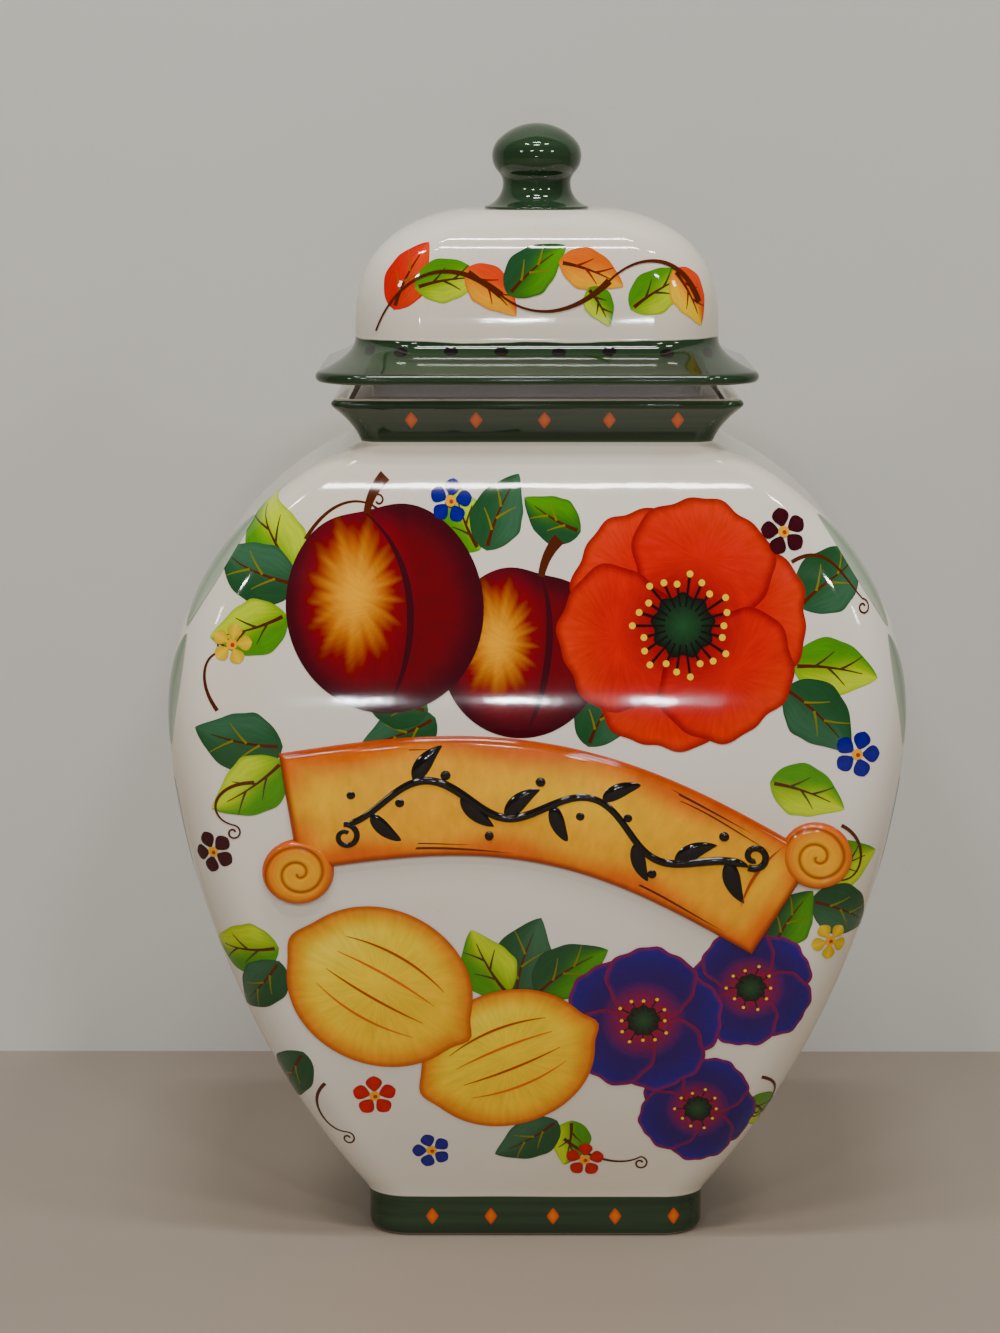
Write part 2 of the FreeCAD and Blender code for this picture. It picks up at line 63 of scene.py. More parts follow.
def meshPiece(name, points, faces, material, body, paintMap=None):
    # Mesh from points in millimetres, a list of faces and, where it is painted, a map with a place per point.
    mesh = bpy.data.meshes.new(name)
    mesh.from_pydata((np.asarray(points) * mm).tolist(), [], faces)
    if paintMap is not None:
        corner = np.zeros(len(mesh.loops), int)
        mesh.loops.foreach_get("vertex_index", corner)
        layer = mesh.uv_layers.new(name="paint")
        layer.data.foreach_set("uv", np.asarray(paintMap, float)[corner].ravel())
    mesh.polygons.foreach_set("use_smooth", np.full(len(mesh.polygons), True))
    mesh.materials.append(material)
    mesh.update()
    piece = bpy.data.objects.new(name, mesh)
    bpy.context.scene.collection.objects.link(piece)
    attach(piece, body)
    return piece


def gridFaces(rows, columns, closed=False):
    # Faces of a grid of rows by columns, wound so that rows x columns gives the outward side.
    lastColumn = columns if closed else columns - 1
    row, column = np.meshgrid(np.arange(rows - 1), np.arange(lastColumn), indexing="ij")
    right = (column + 1) % columns
    low, high = row * columns, (row + 1) * columns
    return np.stack([low + column, low + right, high + right, high + column], -1).reshape(-1, 4)


def closePoles(piece):
    # Merge the points that meet at the two ends of a wrapped grid, then turn the faces outwards.
    work = bmesh.new()
    work.from_mesh(piece.data)
    bmesh.ops.remove_doubles(work, verts=work.verts, dist=1e-6)
    bmesh.ops.recalc_face_normals(work, faces=work.faces)
    work.to_mesh(piece.data)
    work.free()
    piece.data.update()


# Plan of the jar: a rectangle with round corners, walked once round from the middle of the back

planSteps = {"front": 88, "side": 36, "corner": 14}


def planWalk():
    # Each column has a share of the straight half-sides and a direction for the corner radius,
    # so a point is share * (half - corner) + direction * corner.
    front = np.linspace(-1, 1, planSteps["front"], endpoint=False)
    side = np.linspace(-1, 1, planSteps["side"], endpoint=False)
    turn = np.linspace(0, math.pi / 2, planSteps["corner"], endpoint=False)
    pieces = []
    for quarter, straight in enumerate((front, side, front, side)):
        # quarter 0 walks the front from left to right, then each side anticlockwise
        out = -math.pi / 2 + quarter * math.pi / 2
        along = (round(math.cos(out + math.pi / 2)), round(math.sin(out + math.pi / 2)))
        outward = (round(math.cos(out)), round(math.sin(out)))
        shareX = along[0] * straight + outward[0]
        shareY = along[1] * straight + outward[1]
        facing = [np.full_like(straight, way) for way in outward]
        pieces.append(np.stack([shareX, shareY, *facing]))
        angle = out + turn
        cornerX = np.full_like(turn, along[0] + outward[0])
        cornerY = np.full_like(turn, along[1] + outward[1])
        pieces.append(np.stack([cornerX, cornerY, np.cos(angle), np.sin(angle)]))
    walk = np.concatenate(pieces, axis=1)
    middleOfBack = planSteps["front"] * 3 // 2 + planSteps["side"] + 2 * planSteps["corner"]
    return np.roll(walk, -middleOfBack, axis=1)


plan = planWalk()


def wrapProfile(name, profile, material, body, outer=(0, None)):
    # Carry a profile round the plan. Profile rows are height, half width, half depth, corner.
    z, width, depth, corner = [column[:, None] for column in np.asarray(profile, float).T]
    corner = np.minimum(corner, np.minimum(width, depth))
    shareX, shareY, outX, outY = [line[None, :] for line in plan]
    x = shareX * (width - corner) + outX * corner
    y = shareY * (depth - corner) + outY * corner
    points = np.stack([x, y, np.broadcast_to(z, x.shape)], -1).reshape(-1, 3)
    rows, columns = x.shape
    steps = [np.diff(line[:, 0], prepend=line[0, 0]) for line in (z, width)]
    length = np.cumsum(np.hypot(*steps))
    around = np.broadcast_to(np.linspace(0, 1, columns)[None, :], x.shape)
    upward = np.broadcast_to((length / length[-1])[:, None], x.shape)
    paintMap = np.stack([around, upward], -1).reshape(-1, 2)
    faces = gridFaces(rows, columns, closed=True).tolist()
    piece = meshPiece(name, points, faces, material, body, paintMap)
    # rows that are seen from outside, so that a band of colour stays off the inside
    outside = np.zeros((rows, columns))
    outside[slice(*outer)] = 1
    piece.data.attributes.new("outside", "FLOAT", "POINT").data.foreach_set("value", outside.ravel())
    closePoles(piece)
    return piece


def softened(profile, passes):
    # Glaze rounds off creases: each row moves halfway to the mean of its neighbours, several times.
    rows = np.asarray(profile, float).copy()
    for _ in range(passes):
        rows[1:-1] += 0.5 * (0.5 * (rows[:-2] + rows[2:]) - rows[1:-1])
    return rows


# Jar body, in the frame's own sizes

jar = {
    "footHalf": (48.5, 33.0), "footHeight": 12.0, "footCorner": 12.0, "footRound": 2.5,
    "ringWidth": 8.0, "recess": 3.0,
    "bellyHalf": (103.0, 61.92), "bellyCorner": 15.0, "middle": (156.0, 138.0),
    "shoulderFullness": 2.1, "waistFullness": 1.6,
    "neckHalf": (49.4, 34.0), "neckCorner": 7.0, "neckHeight": 231.0,
    "rimHalf": (57.5, 42.0), "rimCorner": 4.5, "rimTop": 243.8, "rimHollow": 1.2,
    "lipRound": 1.9, "wall": 5.0, "leastCorner": 2.5, "recessCorner": 8.0,
    "floor": 8.0, "floorCorner": 7.0, "outerRows": 190, "innerRows": 48,
}


def bellyHalf(z, axis, inset=0.0):
    # Half width (axis 0) or half depth (axis 1) of the belly at a height.
    z = np.asarray(z, float)
    middle = jar["middle"][axis]
    full = jar["bellyHalf"][axis] - inset
    top = jar["neckHeight"] - inset
    neck, foot = jar["neckHalf"][axis] - inset, jar["footHalf"][axis] - inset
    upper = drawnIn((z - middle) / (top - middle), full, neck, jar["shoulderFullness"])
    lower = drawnIn((middle - z) / (middle - jar["footHeight"]), full, foot, jar["waistFullness"])
    return np.where(z >= middle, upper, lower)


def bellyCorner(z, inset=0.0):
    middle = jar["middle"][0]
    up = np.clip((z - middle) / (jar["neckHeight"] - middle), 0, 1)
    down = np.clip((middle - z) / (middle - jar["footHeight"]), 0, 1)
    corner = np.where(z >= middle, between(jar["bellyCorner"], jar["neckCorner"], up ** 2),
                      between(jar["bellyCorner"], jar["footCorner"], down ** 2))
    return np.maximum(corner - inset, jar["leastCorner"])


def bellyRows(count, inset, top):
    # Heights crowd towards the neck, where the outline turns over.
    turn = np.linspace(-1, 1, count)
    middle = jar["middle"][0]
    z = np.where(turn < 0, between(middle, jar["footHeight"], np.abs(turn)),
                 between(middle, top, np.sin(np.abs(turn) * math.pi / 2)))
    return np.stack([z, bellyHalf(z, 0, inset), bellyHalf(z, 1, inset), bellyCorner(z, inset)], 1)


def quarterRound(z, halves, corner, radius, startAngle, count=8):
    # Rows of a quarter circle about a point, from a start angle through a right angle anticlockwise.
    angle = startAngle + np.linspace(0, math.pi / 2, count)
    out = radius * np.cos(angle)
    up = radius * np.sin(angle)
    return [(z + u, halves[0] + o, halves[1] + o, max(corner + o, 1.5)) for o, u in zip(out, up)]


def jarProfile():
    foot, ring = jar["footHalf"], jar["ringWidth"]
    inner = (foot[0] - ring, foot[1] - ring)
    rows = [(jar["recess"], 0.0, 0.0, 0.0)]
    corner = jar["recessCorner"]
    rows += [(jar["recess"], inner[0] * s, inner[1] * s, corner * s) for s in np.linspace(0.1, 1, 14)]
    rows += [(0.5, inner[0], inner[1], corner), (0.0, inner[0] + 0.5, inner[1] + 0.5, corner + 0.5)]
    radius = jar["footRound"]
    centre = (foot[0] - radius, foot[1] - radius)
    rows += quarterRound(radius, centre, jar["footCorner"] - radius, radius, -math.pi / 2)
    footHeights = np.linspace(radius + 0.7, jar["footHeight"], 8)
    rows += [(z, foot[0], foot[1], jar["footCorner"]) for z in footHeights]
    rows += bellyRows(jar["outerRows"], 0.0, jar["neckHeight"])[1:].tolist()
    flare = np.linspace(0, 1, 14)[1:]
    top = jar["rimTop"] - jar["lipRound"]
    for share in flare:
        hollow = jar["rimHollow"] * 4 * share * (1 - share)
        rows.append((between(jar["neckHeight"], top, share),
                     between(jar["neckHalf"][0], jar["rimHalf"][0], share) - hollow,
                     between(jar["neckHalf"][1], jar["rimHalf"][1], share) - hollow,
                     between(jar["neckCorner"], jar["rimCorner"], share)))
    lip = jar["lipRound"]
    least = jar["leastCorner"]
    rimIn, throat, floorIn = [(half[0] - jar["wall"], half[1] - jar["wall"])
                              for half in (jar["rimHalf"], jar["neckHalf"], foot)]
    rimOut = (jar["rimHalf"][0] - lip, jar["rimHalf"][1] - lip)
    rows += quarterRound(top, rimOut, jar["rimCorner"] - lip, lip, 0.0)[1:]
    outerRows = len(rows)
    rows += quarterRound(top, (rimIn[0] + lip, rimIn[1] + lip), least + lip, lip, math.pi / 2)
    for share in np.linspace(0, 1, 10)[1:]:
        rows.append((between(top, jar["neckHeight"], share), between(rimIn[0], throat[0], share),
                     between(rimIn[1], throat[1], share), least))
    rows += [(jar["neckHeight"] - drop, throat[0], throat[1], least) for drop in (2.0, 4.0)]
    rows += bellyRows(jar["innerRows"], jar["wall"], jar["neckHeight"] - jar["wall"])[::-1].tolist()
    floor, corner = jar["floor"], jar["floorCorner"]
    rows.append((floor + 2.0, floorIn[0], floorIn[1], corner))
    rows.append((floor + 0.4, floorIn[0] - 0.4, floorIn[1] - 0.4, corner))
    rows += [(floor, floorIn[0] * s, floorIn[1] * s, corner * s) for s in np.linspace(0.97, 0.1, 12)]
    rows.append((floor, 0.0, 0.0, 0.0))
    return softened(rows, 2), outerRows


# Lid, in the frame's own sizes

lid = {
    "base": 248.0, "skirtHalf": (62.0, 46.5), "skirtCorner": 15.0, "lipHeight": 3.2, "lipSetBack": 1.6,
    "skirtRise": 10.7, "skirtHollow": 2.2,
    "domeHalf": (51.5, 33.0), "domeCorner": 19.0, "domeRise": 36.3, "domeFullness": 2.9,
    "crownHalf": (22.0, 16.5), "crownCorner": 15.5,
    "wall": 4.5, "collarDrop": 12.0, "collarWall": 3.8, "collarHalf": (43.2, 27.8), "collarCorner": 5.0,
    "collarRound": 0.8, "hollowCorner": 2.0, "outerRows": 80, "innerRows": 40,
}
lid["domeBase"] = lid["base"] + lid["skirtRise"]
lid["crownTop"] = lid["domeBase"] + lid["domeRise"]


def domeHalf(z, axis, inset=0.0):
    z = np.asarray(z, float)
    share = (z - lid["domeBase"]) / (lid["domeRise"] - inset)
    return drawnIn(share, lid["domeHalf"][axis] - inset, lid["crownHalf"][axis] - inset, lid["domeFullness"])


def domeCorner(z, inset=0.0):
    share = np.clip((z - lid["domeBase"]) / (lid["domeRise"] - inset), 0, 1)
    return between(lid["domeCorner"], lid["crownCorner"], share) - inset


def domeRows(count, inset):
    z = lid["domeBase"] + (lid["domeRise"] - inset) * np.sin(np.linspace(0, math.pi / 2, count))
    return np.stack([z, domeHalf(z, 0, inset), domeHalf(z, 1, inset), domeCorner(z, inset)], 1)


def lidProfile():
    collar, base = lid["collarHalf"], lid["base"]
    wall = lid["collarWall"]
    bottom = base - lid["collarDrop"]
    corner, bevel, least = lid["collarCorner"], lid["collarRound"], lid["hollowCorner"]
    rows = [(bottom, collar[0] - wall + 0.6, collar[1] - wall + 0.6, least)]
    rows += [(bottom, collar[0] - bevel, collar[1] - bevel, corner - bevel)]
    rows += [(z, collar[0], collar[1], corner) for z in np.linspace(bottom + bevel, base - 0.4, 8)]
    back, skirt = lid["lipSetBack"], lid["skirtHalf"]
    rows += [(base, between(collar[0], skirt[0] - back, s), between(collar[1], skirt[1] - back, s),
              between(corner, lid["skirtCorner"] - back, s)) for s in np.linspace(0.05, 1, 10)]
    lip = lid["lipHeight"] / 2
    angle = np.linspace(-math.pi / 2, math.pi / 2, 15)[1:]
    for a in angle:
        inward = back * (math.cos(a) - 1)
        z = base + lip + lip * math.sin(a)
        rows.append((z, skirt[0] + inward, skirt[1] + inward, lid["skirtCorner"] + inward))
    low = base + lid["lipHeight"]
    for share in np.linspace(0, 1, 14)[1:-1]:
        hollow = lid["skirtHollow"] * 4 * share * (1 - share)
        rows.append((between(low, lid["domeBase"], share),
                     between(skirt[0] - back, lid["domeHalf"][0], share) - hollow,
                     between(skirt[1] - back, lid["domeHalf"][1], share) - hollow,
                     between(lid["skirtCorner"] - back, lid["domeCorner"], share)))
    rows += domeRows(lid["outerRows"], 0.0).tolist()
    crown, top = lid["crownHalf"], lid["crownTop"]
    rows += [(top, crown[0] * s, crown[1] * s, lid["crownCorner"] * s) for s in np.linspace(0.96, 0.1, 10)]
    rows += [(top, 0.0, 0.0, 0.0)]
    outer = softened(rows, 2)
    inner = domeRows(lid["innerRows"], lid["wall"])[::-1].tolist()
    roof = inner[0]
    innerRows = [(roof[0], roof[1] * s, roof[2] * s, roof[3] * s) for s in np.linspace(0, 0.96, 10)]
    innerRows += inner
    mouth = (collar[0] - wall, collar[1] - wall)
    last = inner[-1]
    innerRows += [(between(lid["domeBase"], base, s), between(last[1], mouth[0], s),
                   between(last[2], mouth[1], s), between(last[3], least, s)) for s in np.linspace(0.1, 1, 8)]
    innerRows += [(z, mouth[0], mouth[1], least) for z in np.linspace(base - 1, bottom + 0.5, 8)]
    innerRows.append((bottom, mouth[0] + 0.5, mouth[1] + 0.5, least))
    return np.concatenate([softened(innerRows, 1), outer]), len(innerRows)


# Materials

def tree(name):
    material = bpy.data.materials.new(name)
    material.use_nodes = True
    nodes = material.node_tree.nodes
    return material, material.node_tree, nodes["Principled BSDF"]


def node(nodeTree, kind, inputs=(), **settings):
    made = nodeTree.nodes.new("ShaderNode" + kind)
    for key, value in settings.items():
        setattr(made, key, value)
    for key, value in dict(inputs).items():
        if isinstance(value, bpy.types.NodeSocket):
            nodeTree.links.new(value, made.inputs[key])
        else:
            made.inputs[key].default_value = value
    return made


def maths(nodeTree, operation, first, second=0.0, clamp=False):
    made = node(nodeTree, "Math", {0: first, 1: second}, operation=operation)
    made.use_clamp = clamp
    return made.outputs[0]


def blendColour(nodeTree, share, low, high):
    made = node(nodeTree, "Mix", data_type="RGBA")
    for key, value in ((0, share), (6, low), (7, high)):
        if isinstance(value, bpy.types.NodeSocket):
            nodeTree.links.new(value, made.inputs[key])
        else:
            made.inputs[key].default_value = (*value, 1) if isinstance(value, tuple) else value
    return made.outputs[2]


def ramp(nodeTree, value, low, high):
    # Share that climbs smoothly from 0 to 1 between two values.
    limits = {"Value": value, "From Min": low, "From Max": high}
    return node(nodeTree, "MapRange", limits, interpolation_type="SMOOTHSTEP").outputs[0]


def noise(nodeTree, vector, scale, detail=2.0, rough=0.5):
    settings = {"Vector": vector, "Scale": scale, "Detail": detail, "Roughness": rough}
    return node(nodeTree, "TexNoise", settings).outputs[0]


def hairs(nodeTree, vector, scale, rough=0.5):
    # Noise drawn out along one way, as the hairs of a brush leave it.
    stretched = node(nodeTree, "Mapping", {"Vector": vector, "Scale": scale}).outputs[0]
    return noise(nodeTree, stretched, 1.0, 4.0, rough)


def bumped(nodeTree, shader, vector, scale, strength, distance):
    swell = noise(nodeTree, vector, scale)
    bump = node(nodeTree, "Bump", {"Height": swell, "Strength": strength, "Distance": distance})
    nodeTree.links.new(bump.outputs[0], shader.inputs["Normal"])


def glossy(nodeTree, shader, colour, vector, roughness=0.055, waver=0.18, bare=None):
    # Fired glaze: clear gloss with a slight orange-peel waver.
    nodeTree.links.new(colour, shader.inputs["Base Color"])
    shader.inputs["IOR"].default_value = 1.48
    patch = noise(nodeTree, vector, 60.0, 3.0)
    rough = maths(nodeTree, "ADD", maths(nodeTree, "MULTIPLY", patch, 0.06), roughness - 0.03)
    if bare is not None:
        rough = maths(nodeTree, "ADD", rough, maths(nodeTree, "MULTIPLY", bare, 0.6))
    nodeTree.links.new(rough, shader.inputs["Roughness"])
    bumped(nodeTree, shader, vector, 95.0, waver, 0.0002)


glazes = {
    "white": (0.79, 0.755, 0.68), "whiteWarm": (0.73, 0.66, 0.53), "speck": (0.42, 0.33, 0.22),
    "green": (0.020, 0.050, 0.020), "greenDeep": (0.010, 0.027, 0.010), "greenThin": (0.09, 0.15, 0.07),
    "bisque": (0.66, 0.56, 0.43),
}


def whiteGlaze(name, greenBands, wander, bareBelow=-1.0):
    # White glaze with brushed green bands. Each band is low and high height in millimetres,
    # and wander is how far the upper edge of its brush stroke strays.
    material, nodeTree, shader = tree(name)
    place = node(nodeTree, "TexCoord").outputs["Object"]
    height = node(nodeTree, "SeparateXYZ", {0: place}).outputs["Z"]
    drift = noise(nodeTree, place, 9.0, 3.0)
    colour = blendColour(nodeTree, ramp(nodeTree, drift, 0.35, 0.75), glazes["white"], glazes["whiteWarm"])
    fleck = noise(nodeTree, place, 520.0, 1.0)
    specks = maths(nodeTree, "MULTIPLY", ramp(nodeTree, fleck, 0.8, 0.84), 0.35)
    colour = blendColour(nodeTree, specks, colour, glazes["speck"])
    sway = maths(nodeTree, "SUBTRACT", noise(nodeTree, place, 26.0, 3.0), 0.5)
    wobble = maths(nodeTree, "ADD", height, maths(nodeTree, "MULTIPLY", sway, wander * mm))
    stroke = hairs(nodeTree, place, (14.0, 14.0, 420.0))
    green = blendColour(nodeTree, ramp(nodeTree, stroke, 0.3, 0.75), glazes["greenDeep"], glazes["green"])
    outside = node(nodeTree, "Attribute", attribute_name="outside").outputs["Fac"]
    for low, high in greenBands:
        above = ramp(nodeTree, height, (low - 0.15) * mm, (low + 0.15) * mm)
        beyond = ramp(nodeTree, wobble, (high - 0.25) * mm, (high + 0.25) * mm)
        inside = maths(nodeTree, "MULTIPLY", above, maths(nodeTree, "SUBTRACT", 1.0, beyond))
        nearEdge = ramp(nodeTree, height, (low + 0.9) * mm, (low + 0.1) * mm)
        thin = blendColour(nodeTree, maths(nodeTree, "MULTIPLY", nearEdge, 0.4), green, glazes["greenThin"])
        colour = blendColour(nodeTree, maths(nodeTree, "MULTIPLY", inside, outside), colour, thin)
    bare = ramp(nodeTree, height, bareBelow + 0.3 * mm, bareBelow - 0.3 * mm)
    colour = blendColour(nodeTree, bare, colour, glazes["bisque"])
    glossy(nodeTree, shader, colour, place, bare=bare)
    return material


def greenGlaze(name):
    material, nodeTree, shader = tree(name)
    place = node(nodeTree, "TexCoord").outputs["Object"]
    stroke = hairs(nodeTree, place, (30.0, 30.0, 260.0))
    colour = blendColour(nodeTree, ramp(nodeTree, stroke, 0.3, 0.72), glazes["greenDeep"], glazes["green"])
    glossy(nodeTree, shader, colour, place)
    return material


def sealMaterial():
    material, nodeTree, shader = tree("softSeal")
    place = node(nodeTree, "TexCoord").outputs["Object"]
    cloud = noise(nodeTree, place, 40.0, 3.0)
    colour = blendColour(nodeTree, cloud, (0.86, 0.85, 0.93), (0.90, 0.89, 0.96))
    nodeTree.links.new(colour, shader.inputs["Base Color"])
    shader.inputs["Roughness"].default_value = 0.38
    shader.inputs["Subsurface Weight"].default_value = 0.2
    shader.inputs["Subsurface Radius"].default_value = (0.002, 0.002, 0.003)
    bumped(nodeTree, shader, place, 900.0, 0.15, 0.0001)
    return material


# The plain pieces

jarGlaze = whiteGlaze("jarGlaze", [(-1.0, 12.2), (231.3, 243.55)], 0.5, bareBelow=0.6 * mm)
lidGlaze = whiteGlaze("lidGlaze", [(248.1, 259.4)], 3.2)
knobGlaze = greenGlaze("knobGlaze")

jarRows, jarOuterRows = jarProfile()
jarShell = wrapProfile("jarShell", jarRows, jarGlaze, "jar", outer=(0, jarOuterRows))
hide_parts("jar_body")
lidRows, lidInnerRows = lidProfile()
lidDome = wrapProfile("lidDome", lidRows, lidGlaze, "lid", outer=(lidInnerRows, None))
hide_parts("lid_shell")
print("jar and lid made")

knob = {
    "baseRadius": 14.9, "edge": 0.6, "waistRadius": 9.7, "waistHeight": 7.2,
    "ballRadius": 12.8, "ballHeight": 14.9, "height": 24.2, "sideRound": 6.8, "columns": 96,
}


def turnedKnob():
    # Outline of tangent arcs, flare, waist, cheek and crown, turned about the upright axis.
    rise = knob["ballHeight"] - knob["waistHeight"]
    swell = knob["ballRadius"] - knob["waistRadius"]
    side = knob["sideRound"]
    neckRound = (rise ** 2 + swell ** 2) / (2 * swell) - side
    run = knob["baseRadius"] - knob["waistRadius"]
    flare = (run ** 2 + (knob["waistHeight"] - knob["edge"]) ** 2) / (2 * run)
    sideCentre = np.array([knob["ballRadius"] - side, knob["ballHeight"]])
    neckCentre = np.array([knob["waistRadius"] + neckRound, knob["waistHeight"]])
    drop = knob["height"] - knob["ballHeight"]
    crown = (drop ** 2 + sideCentre[0] ** 2 - side ** 2) / (2 * (drop - side))
    crownCentre = np.array([0, knob["height"] - crown])
    flareCentre = np.array([knob["waistRadius"] + flare, knob["waistHeight"]])

    def arc(centre, radius, start, end, count):
        angle = np.linspace(start, end, count)
        return centre + radius * np.stack([np.cos(angle), np.sin(angle)], 1)

    lowAngle = math.atan2(knob["edge"] - flareCentre[1], knob["baseRadius"] - flareCentre[0]) % (2 * math.pi)
    joinAngle = math.atan2(*(sideCentre - neckCentre)[::-1])
    crownAngle = math.atan2(*(sideCentre - crownCentre)[::-1])
    outline = np.concatenate([
        [[0, 0], [knob["baseRadius"] * 0.5, 0], [knob["baseRadius"], 0]],
        arc(flareCentre, flare, lowAngle, math.pi, 18),
        arc(neckCentre, neckRound, math.pi, joinAngle, 14)[1:],
        arc(sideCentre, side, joinAngle - math.pi, crownAngle, 26)[1:],
        arc(crownCentre, crown, crownAngle, math.pi / 2, 20)[1:],
    ])
    turn = np.linspace(0, 2 * math.pi, knob["columns"], endpoint=False)
    radius = outline[:, 0][:, None]
    z = np.broadcast_to(outline[:, 1][:, None] + lid["crownTop"], (len(outline), len(turn)))
    points = np.stack([radius * np.cos(turn), radius * np.sin(turn), z], -1)
    return points.reshape(-1, 3), gridFaces(len(outline), len(turn), closed=True).tolist()


knobPoints, knobFaces = turnedKnob()
lidKnob = meshPiece("lidKnob", knobPoints, knobFaces, knobGlaze, "lid")
closePoles(lidKnob)
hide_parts("lid_knob")

print("knob made")

# Seal ring under the lid, with two soft fins

seal = {"half": (46.2, 30.8), "corner": 8.0, "bottom": 236.8, "top": 248.0, "finThickness": 1.0,
        "finHeights": (239.0, 242.2), "finGap": 0.3, "finCorner": 6.5, "edge": 0.4}


def funnelHalf(z, axis):
    # mouth half width or depth: a straight line from the throat to the inside of the rim
    share = (z - jar["neckHeight"]) / (jar["rimTop"] - jar["neckHeight"])
    return between(jar["neckHalf"][axis] - jar["wall"], jar["rimHalf"][axis] - jar["wall"], share)


def sealProfile():
    # out round the fins from the foot of the collar to the top, then straight down inside
    inner = lid["collarHalf"]
    edge = seal["edge"]
    half, corner = seal["half"], seal["corner"]
    bottom, finCorner = seal["bottom"], seal["finCorner"]
    rows = [(bottom, inner[0], inner[1], lid["collarCorner"])]
    rows.append((bottom, half[0] - edge, half[1] - edge, corner - edge))
    rows.append((bottom + edge, half[0], half[1], corner))
    for low in seal["finHeights"]:
        high = low + seal["finThickness"]
        reach = [funnelHalf(low, axis) - seal["finGap"] for axis in (0, 1)]
        rows += [(low - 0.2, half[0], half[1], corner), (low, half[0] + edge, half[1] + edge, corner)]
        for z, short in ((low, edge), (low + 0.3, 0.0), (high - 0.3, 0.0), (high, edge)):
            rows.append((z, reach[0] - short, reach[1] - short, finCorner))
        rows += [(high, half[0] + edge, half[1] + edge, corner), (high + 0.2, half[0], half[1], corner)]
    rows += [(seal["top"], half[0], half[1], corner), (seal["top"], inner[0], inner[1], lid["collarCorner"])]
    rows += [(bottom, inner[0], inner[1], lid["collarCorner"])]
    return rows


lidSeal = wrapProfile("lidSeal", sealProfile(), sealMaterial(), "lid")
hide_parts("lid_seal")
print("seal made")

# Skins: the place of a point at a run along the outline from the middle of the front, and a height


def wrapSkin(profile):
    # straight to the corner, a quarter round, then straight along the side
    def place(run, z):
        width, depth, corner = profile(z)
        flat = width - corner
        reach = np.abs(run)
        turn = np.clip((reach - flat) / corner, 0, math.pi / 2)
        beyond = np.maximum(reach - flat - corner * math.pi / 2, 0)
        x = np.sign(run) * (np.minimum(reach, flat) + corner * np.sin(turn))
        return np.stack([x, corner - depth - corner * np.cos(turn) + beyond, z + 0 * x], -1)
    return place


def skirtProfile(z):
    share = (z - lid["base"] - lid["lipHeight"]) / (lid["skirtRise"] - lid["lipHeight"])
    hollow = lid["skirtHollow"] * 4 * share * (1 - share)
    back = lid["lipSetBack"]
    halves = [between(lid["skirtHalf"][i] - back, lid["domeHalf"][i], share) - hollow for i in (0, 1)]
    return (*halves, between(lid["skirtCorner"] - back, lid["domeCorner"], share))


def rimProfile(z):
    share = (z - jar["neckHeight"]) / (jar["rimTop"] - jar["lipRound"] - jar["neckHeight"])
    hollow = jar["rimHollow"] * 4 * share * (1 - share)
    halves = [between(jar["neckHalf"][i], jar["rimHalf"][i], share) - hollow for i in (0, 1)]
    return (*halves, between(jar["neckCorner"], jar["rimCorner"], share))


skins = {
    "belly": wrapSkin(lambda z: (bellyHalf(z, 0), bellyHalf(z, 1), bellyCorner(z))),
    "dome": wrapSkin(lambda z: (domeHalf(z, 0), domeHalf(z, 1), domeCorner(z))),
    "skirt": wrapSkin(skirtProfile),
    "rim": wrapSkin(rimProfile),
    "foot": wrapSkin(lambda z: (*jar["footHalf"], jar["footCorner"])),
}


for band in ("rim", "foot", "skirt"):
    # the back is the front turned half round
    skins[band + "Behind"] = lambda run, z, front=skins[band]: front(run, z) * (-1, -1, 1)


def laidOn(skin, place, lift):
    # skin point + lift * unit normal, the normal being the cross product of the two slopes
    run, z = place.T
    step = 0.05
    alongRun = skin(run + step, z) - skin(run - step, z)
    alongHeight = skin(run, z + step) - skin(run, z - step)
    normal = np.cross(alongRun, alongHeight)
    return skin(run, z) + lift[:, None] * normal / np.linalg.norm(normal, axis=1)[:, None]


# Paint: thin shapes with a colour at each point, every one a coat above those that it crosses

coat = {"first": 0.05, "step": 0.016}
laidCoats = {name: [] for name in [*skins, "scroll"]}


def paint(red, green, blue):
    # screen colour out of 255 to a linear one: ((c + 0.055) / 1.055) ^ 2.4
    return ((np.array([red, green, blue]) / 255 + 0.055) / 1.055) ** 2.4


paints = {
    "red": paint(205, 16, 8), "orangeRed": paint(222, 62, 18), "crimson": paint(118, 6, 14),
    "cherry": paint(160, 20, 36), "maroon": paint(104, 14, 22), "wine": paint(62, 8, 20),
    "gold": paint(238, 166, 38), "paleGold": paint(250, 212, 104), "yellow": paint(244, 202, 44),
    "lemon": paint(246, 196, 30), "lemonLight": paint(252, 226, 104), "orange": paint(216, 98, 18),
    "rust": paint(168, 62, 16), "brown": paint(80, 38, 24), "black": paint(16, 13, 12),
    "lime": paint(188, 210, 36), "leaf": paint(78, 140, 34), "darkGreen": paint(36, 76, 44),
    "blueGreen": paint(60, 98, 72), "mist": paint(168, 178, 160), "blue": paint(44, 40, 140),
    "violet": paint(44, 22, 96),
}


def mixed(first, second, share):
    share = np.clip(share, 0, 1)[..., None]
    return first * (1 - share) + second * share


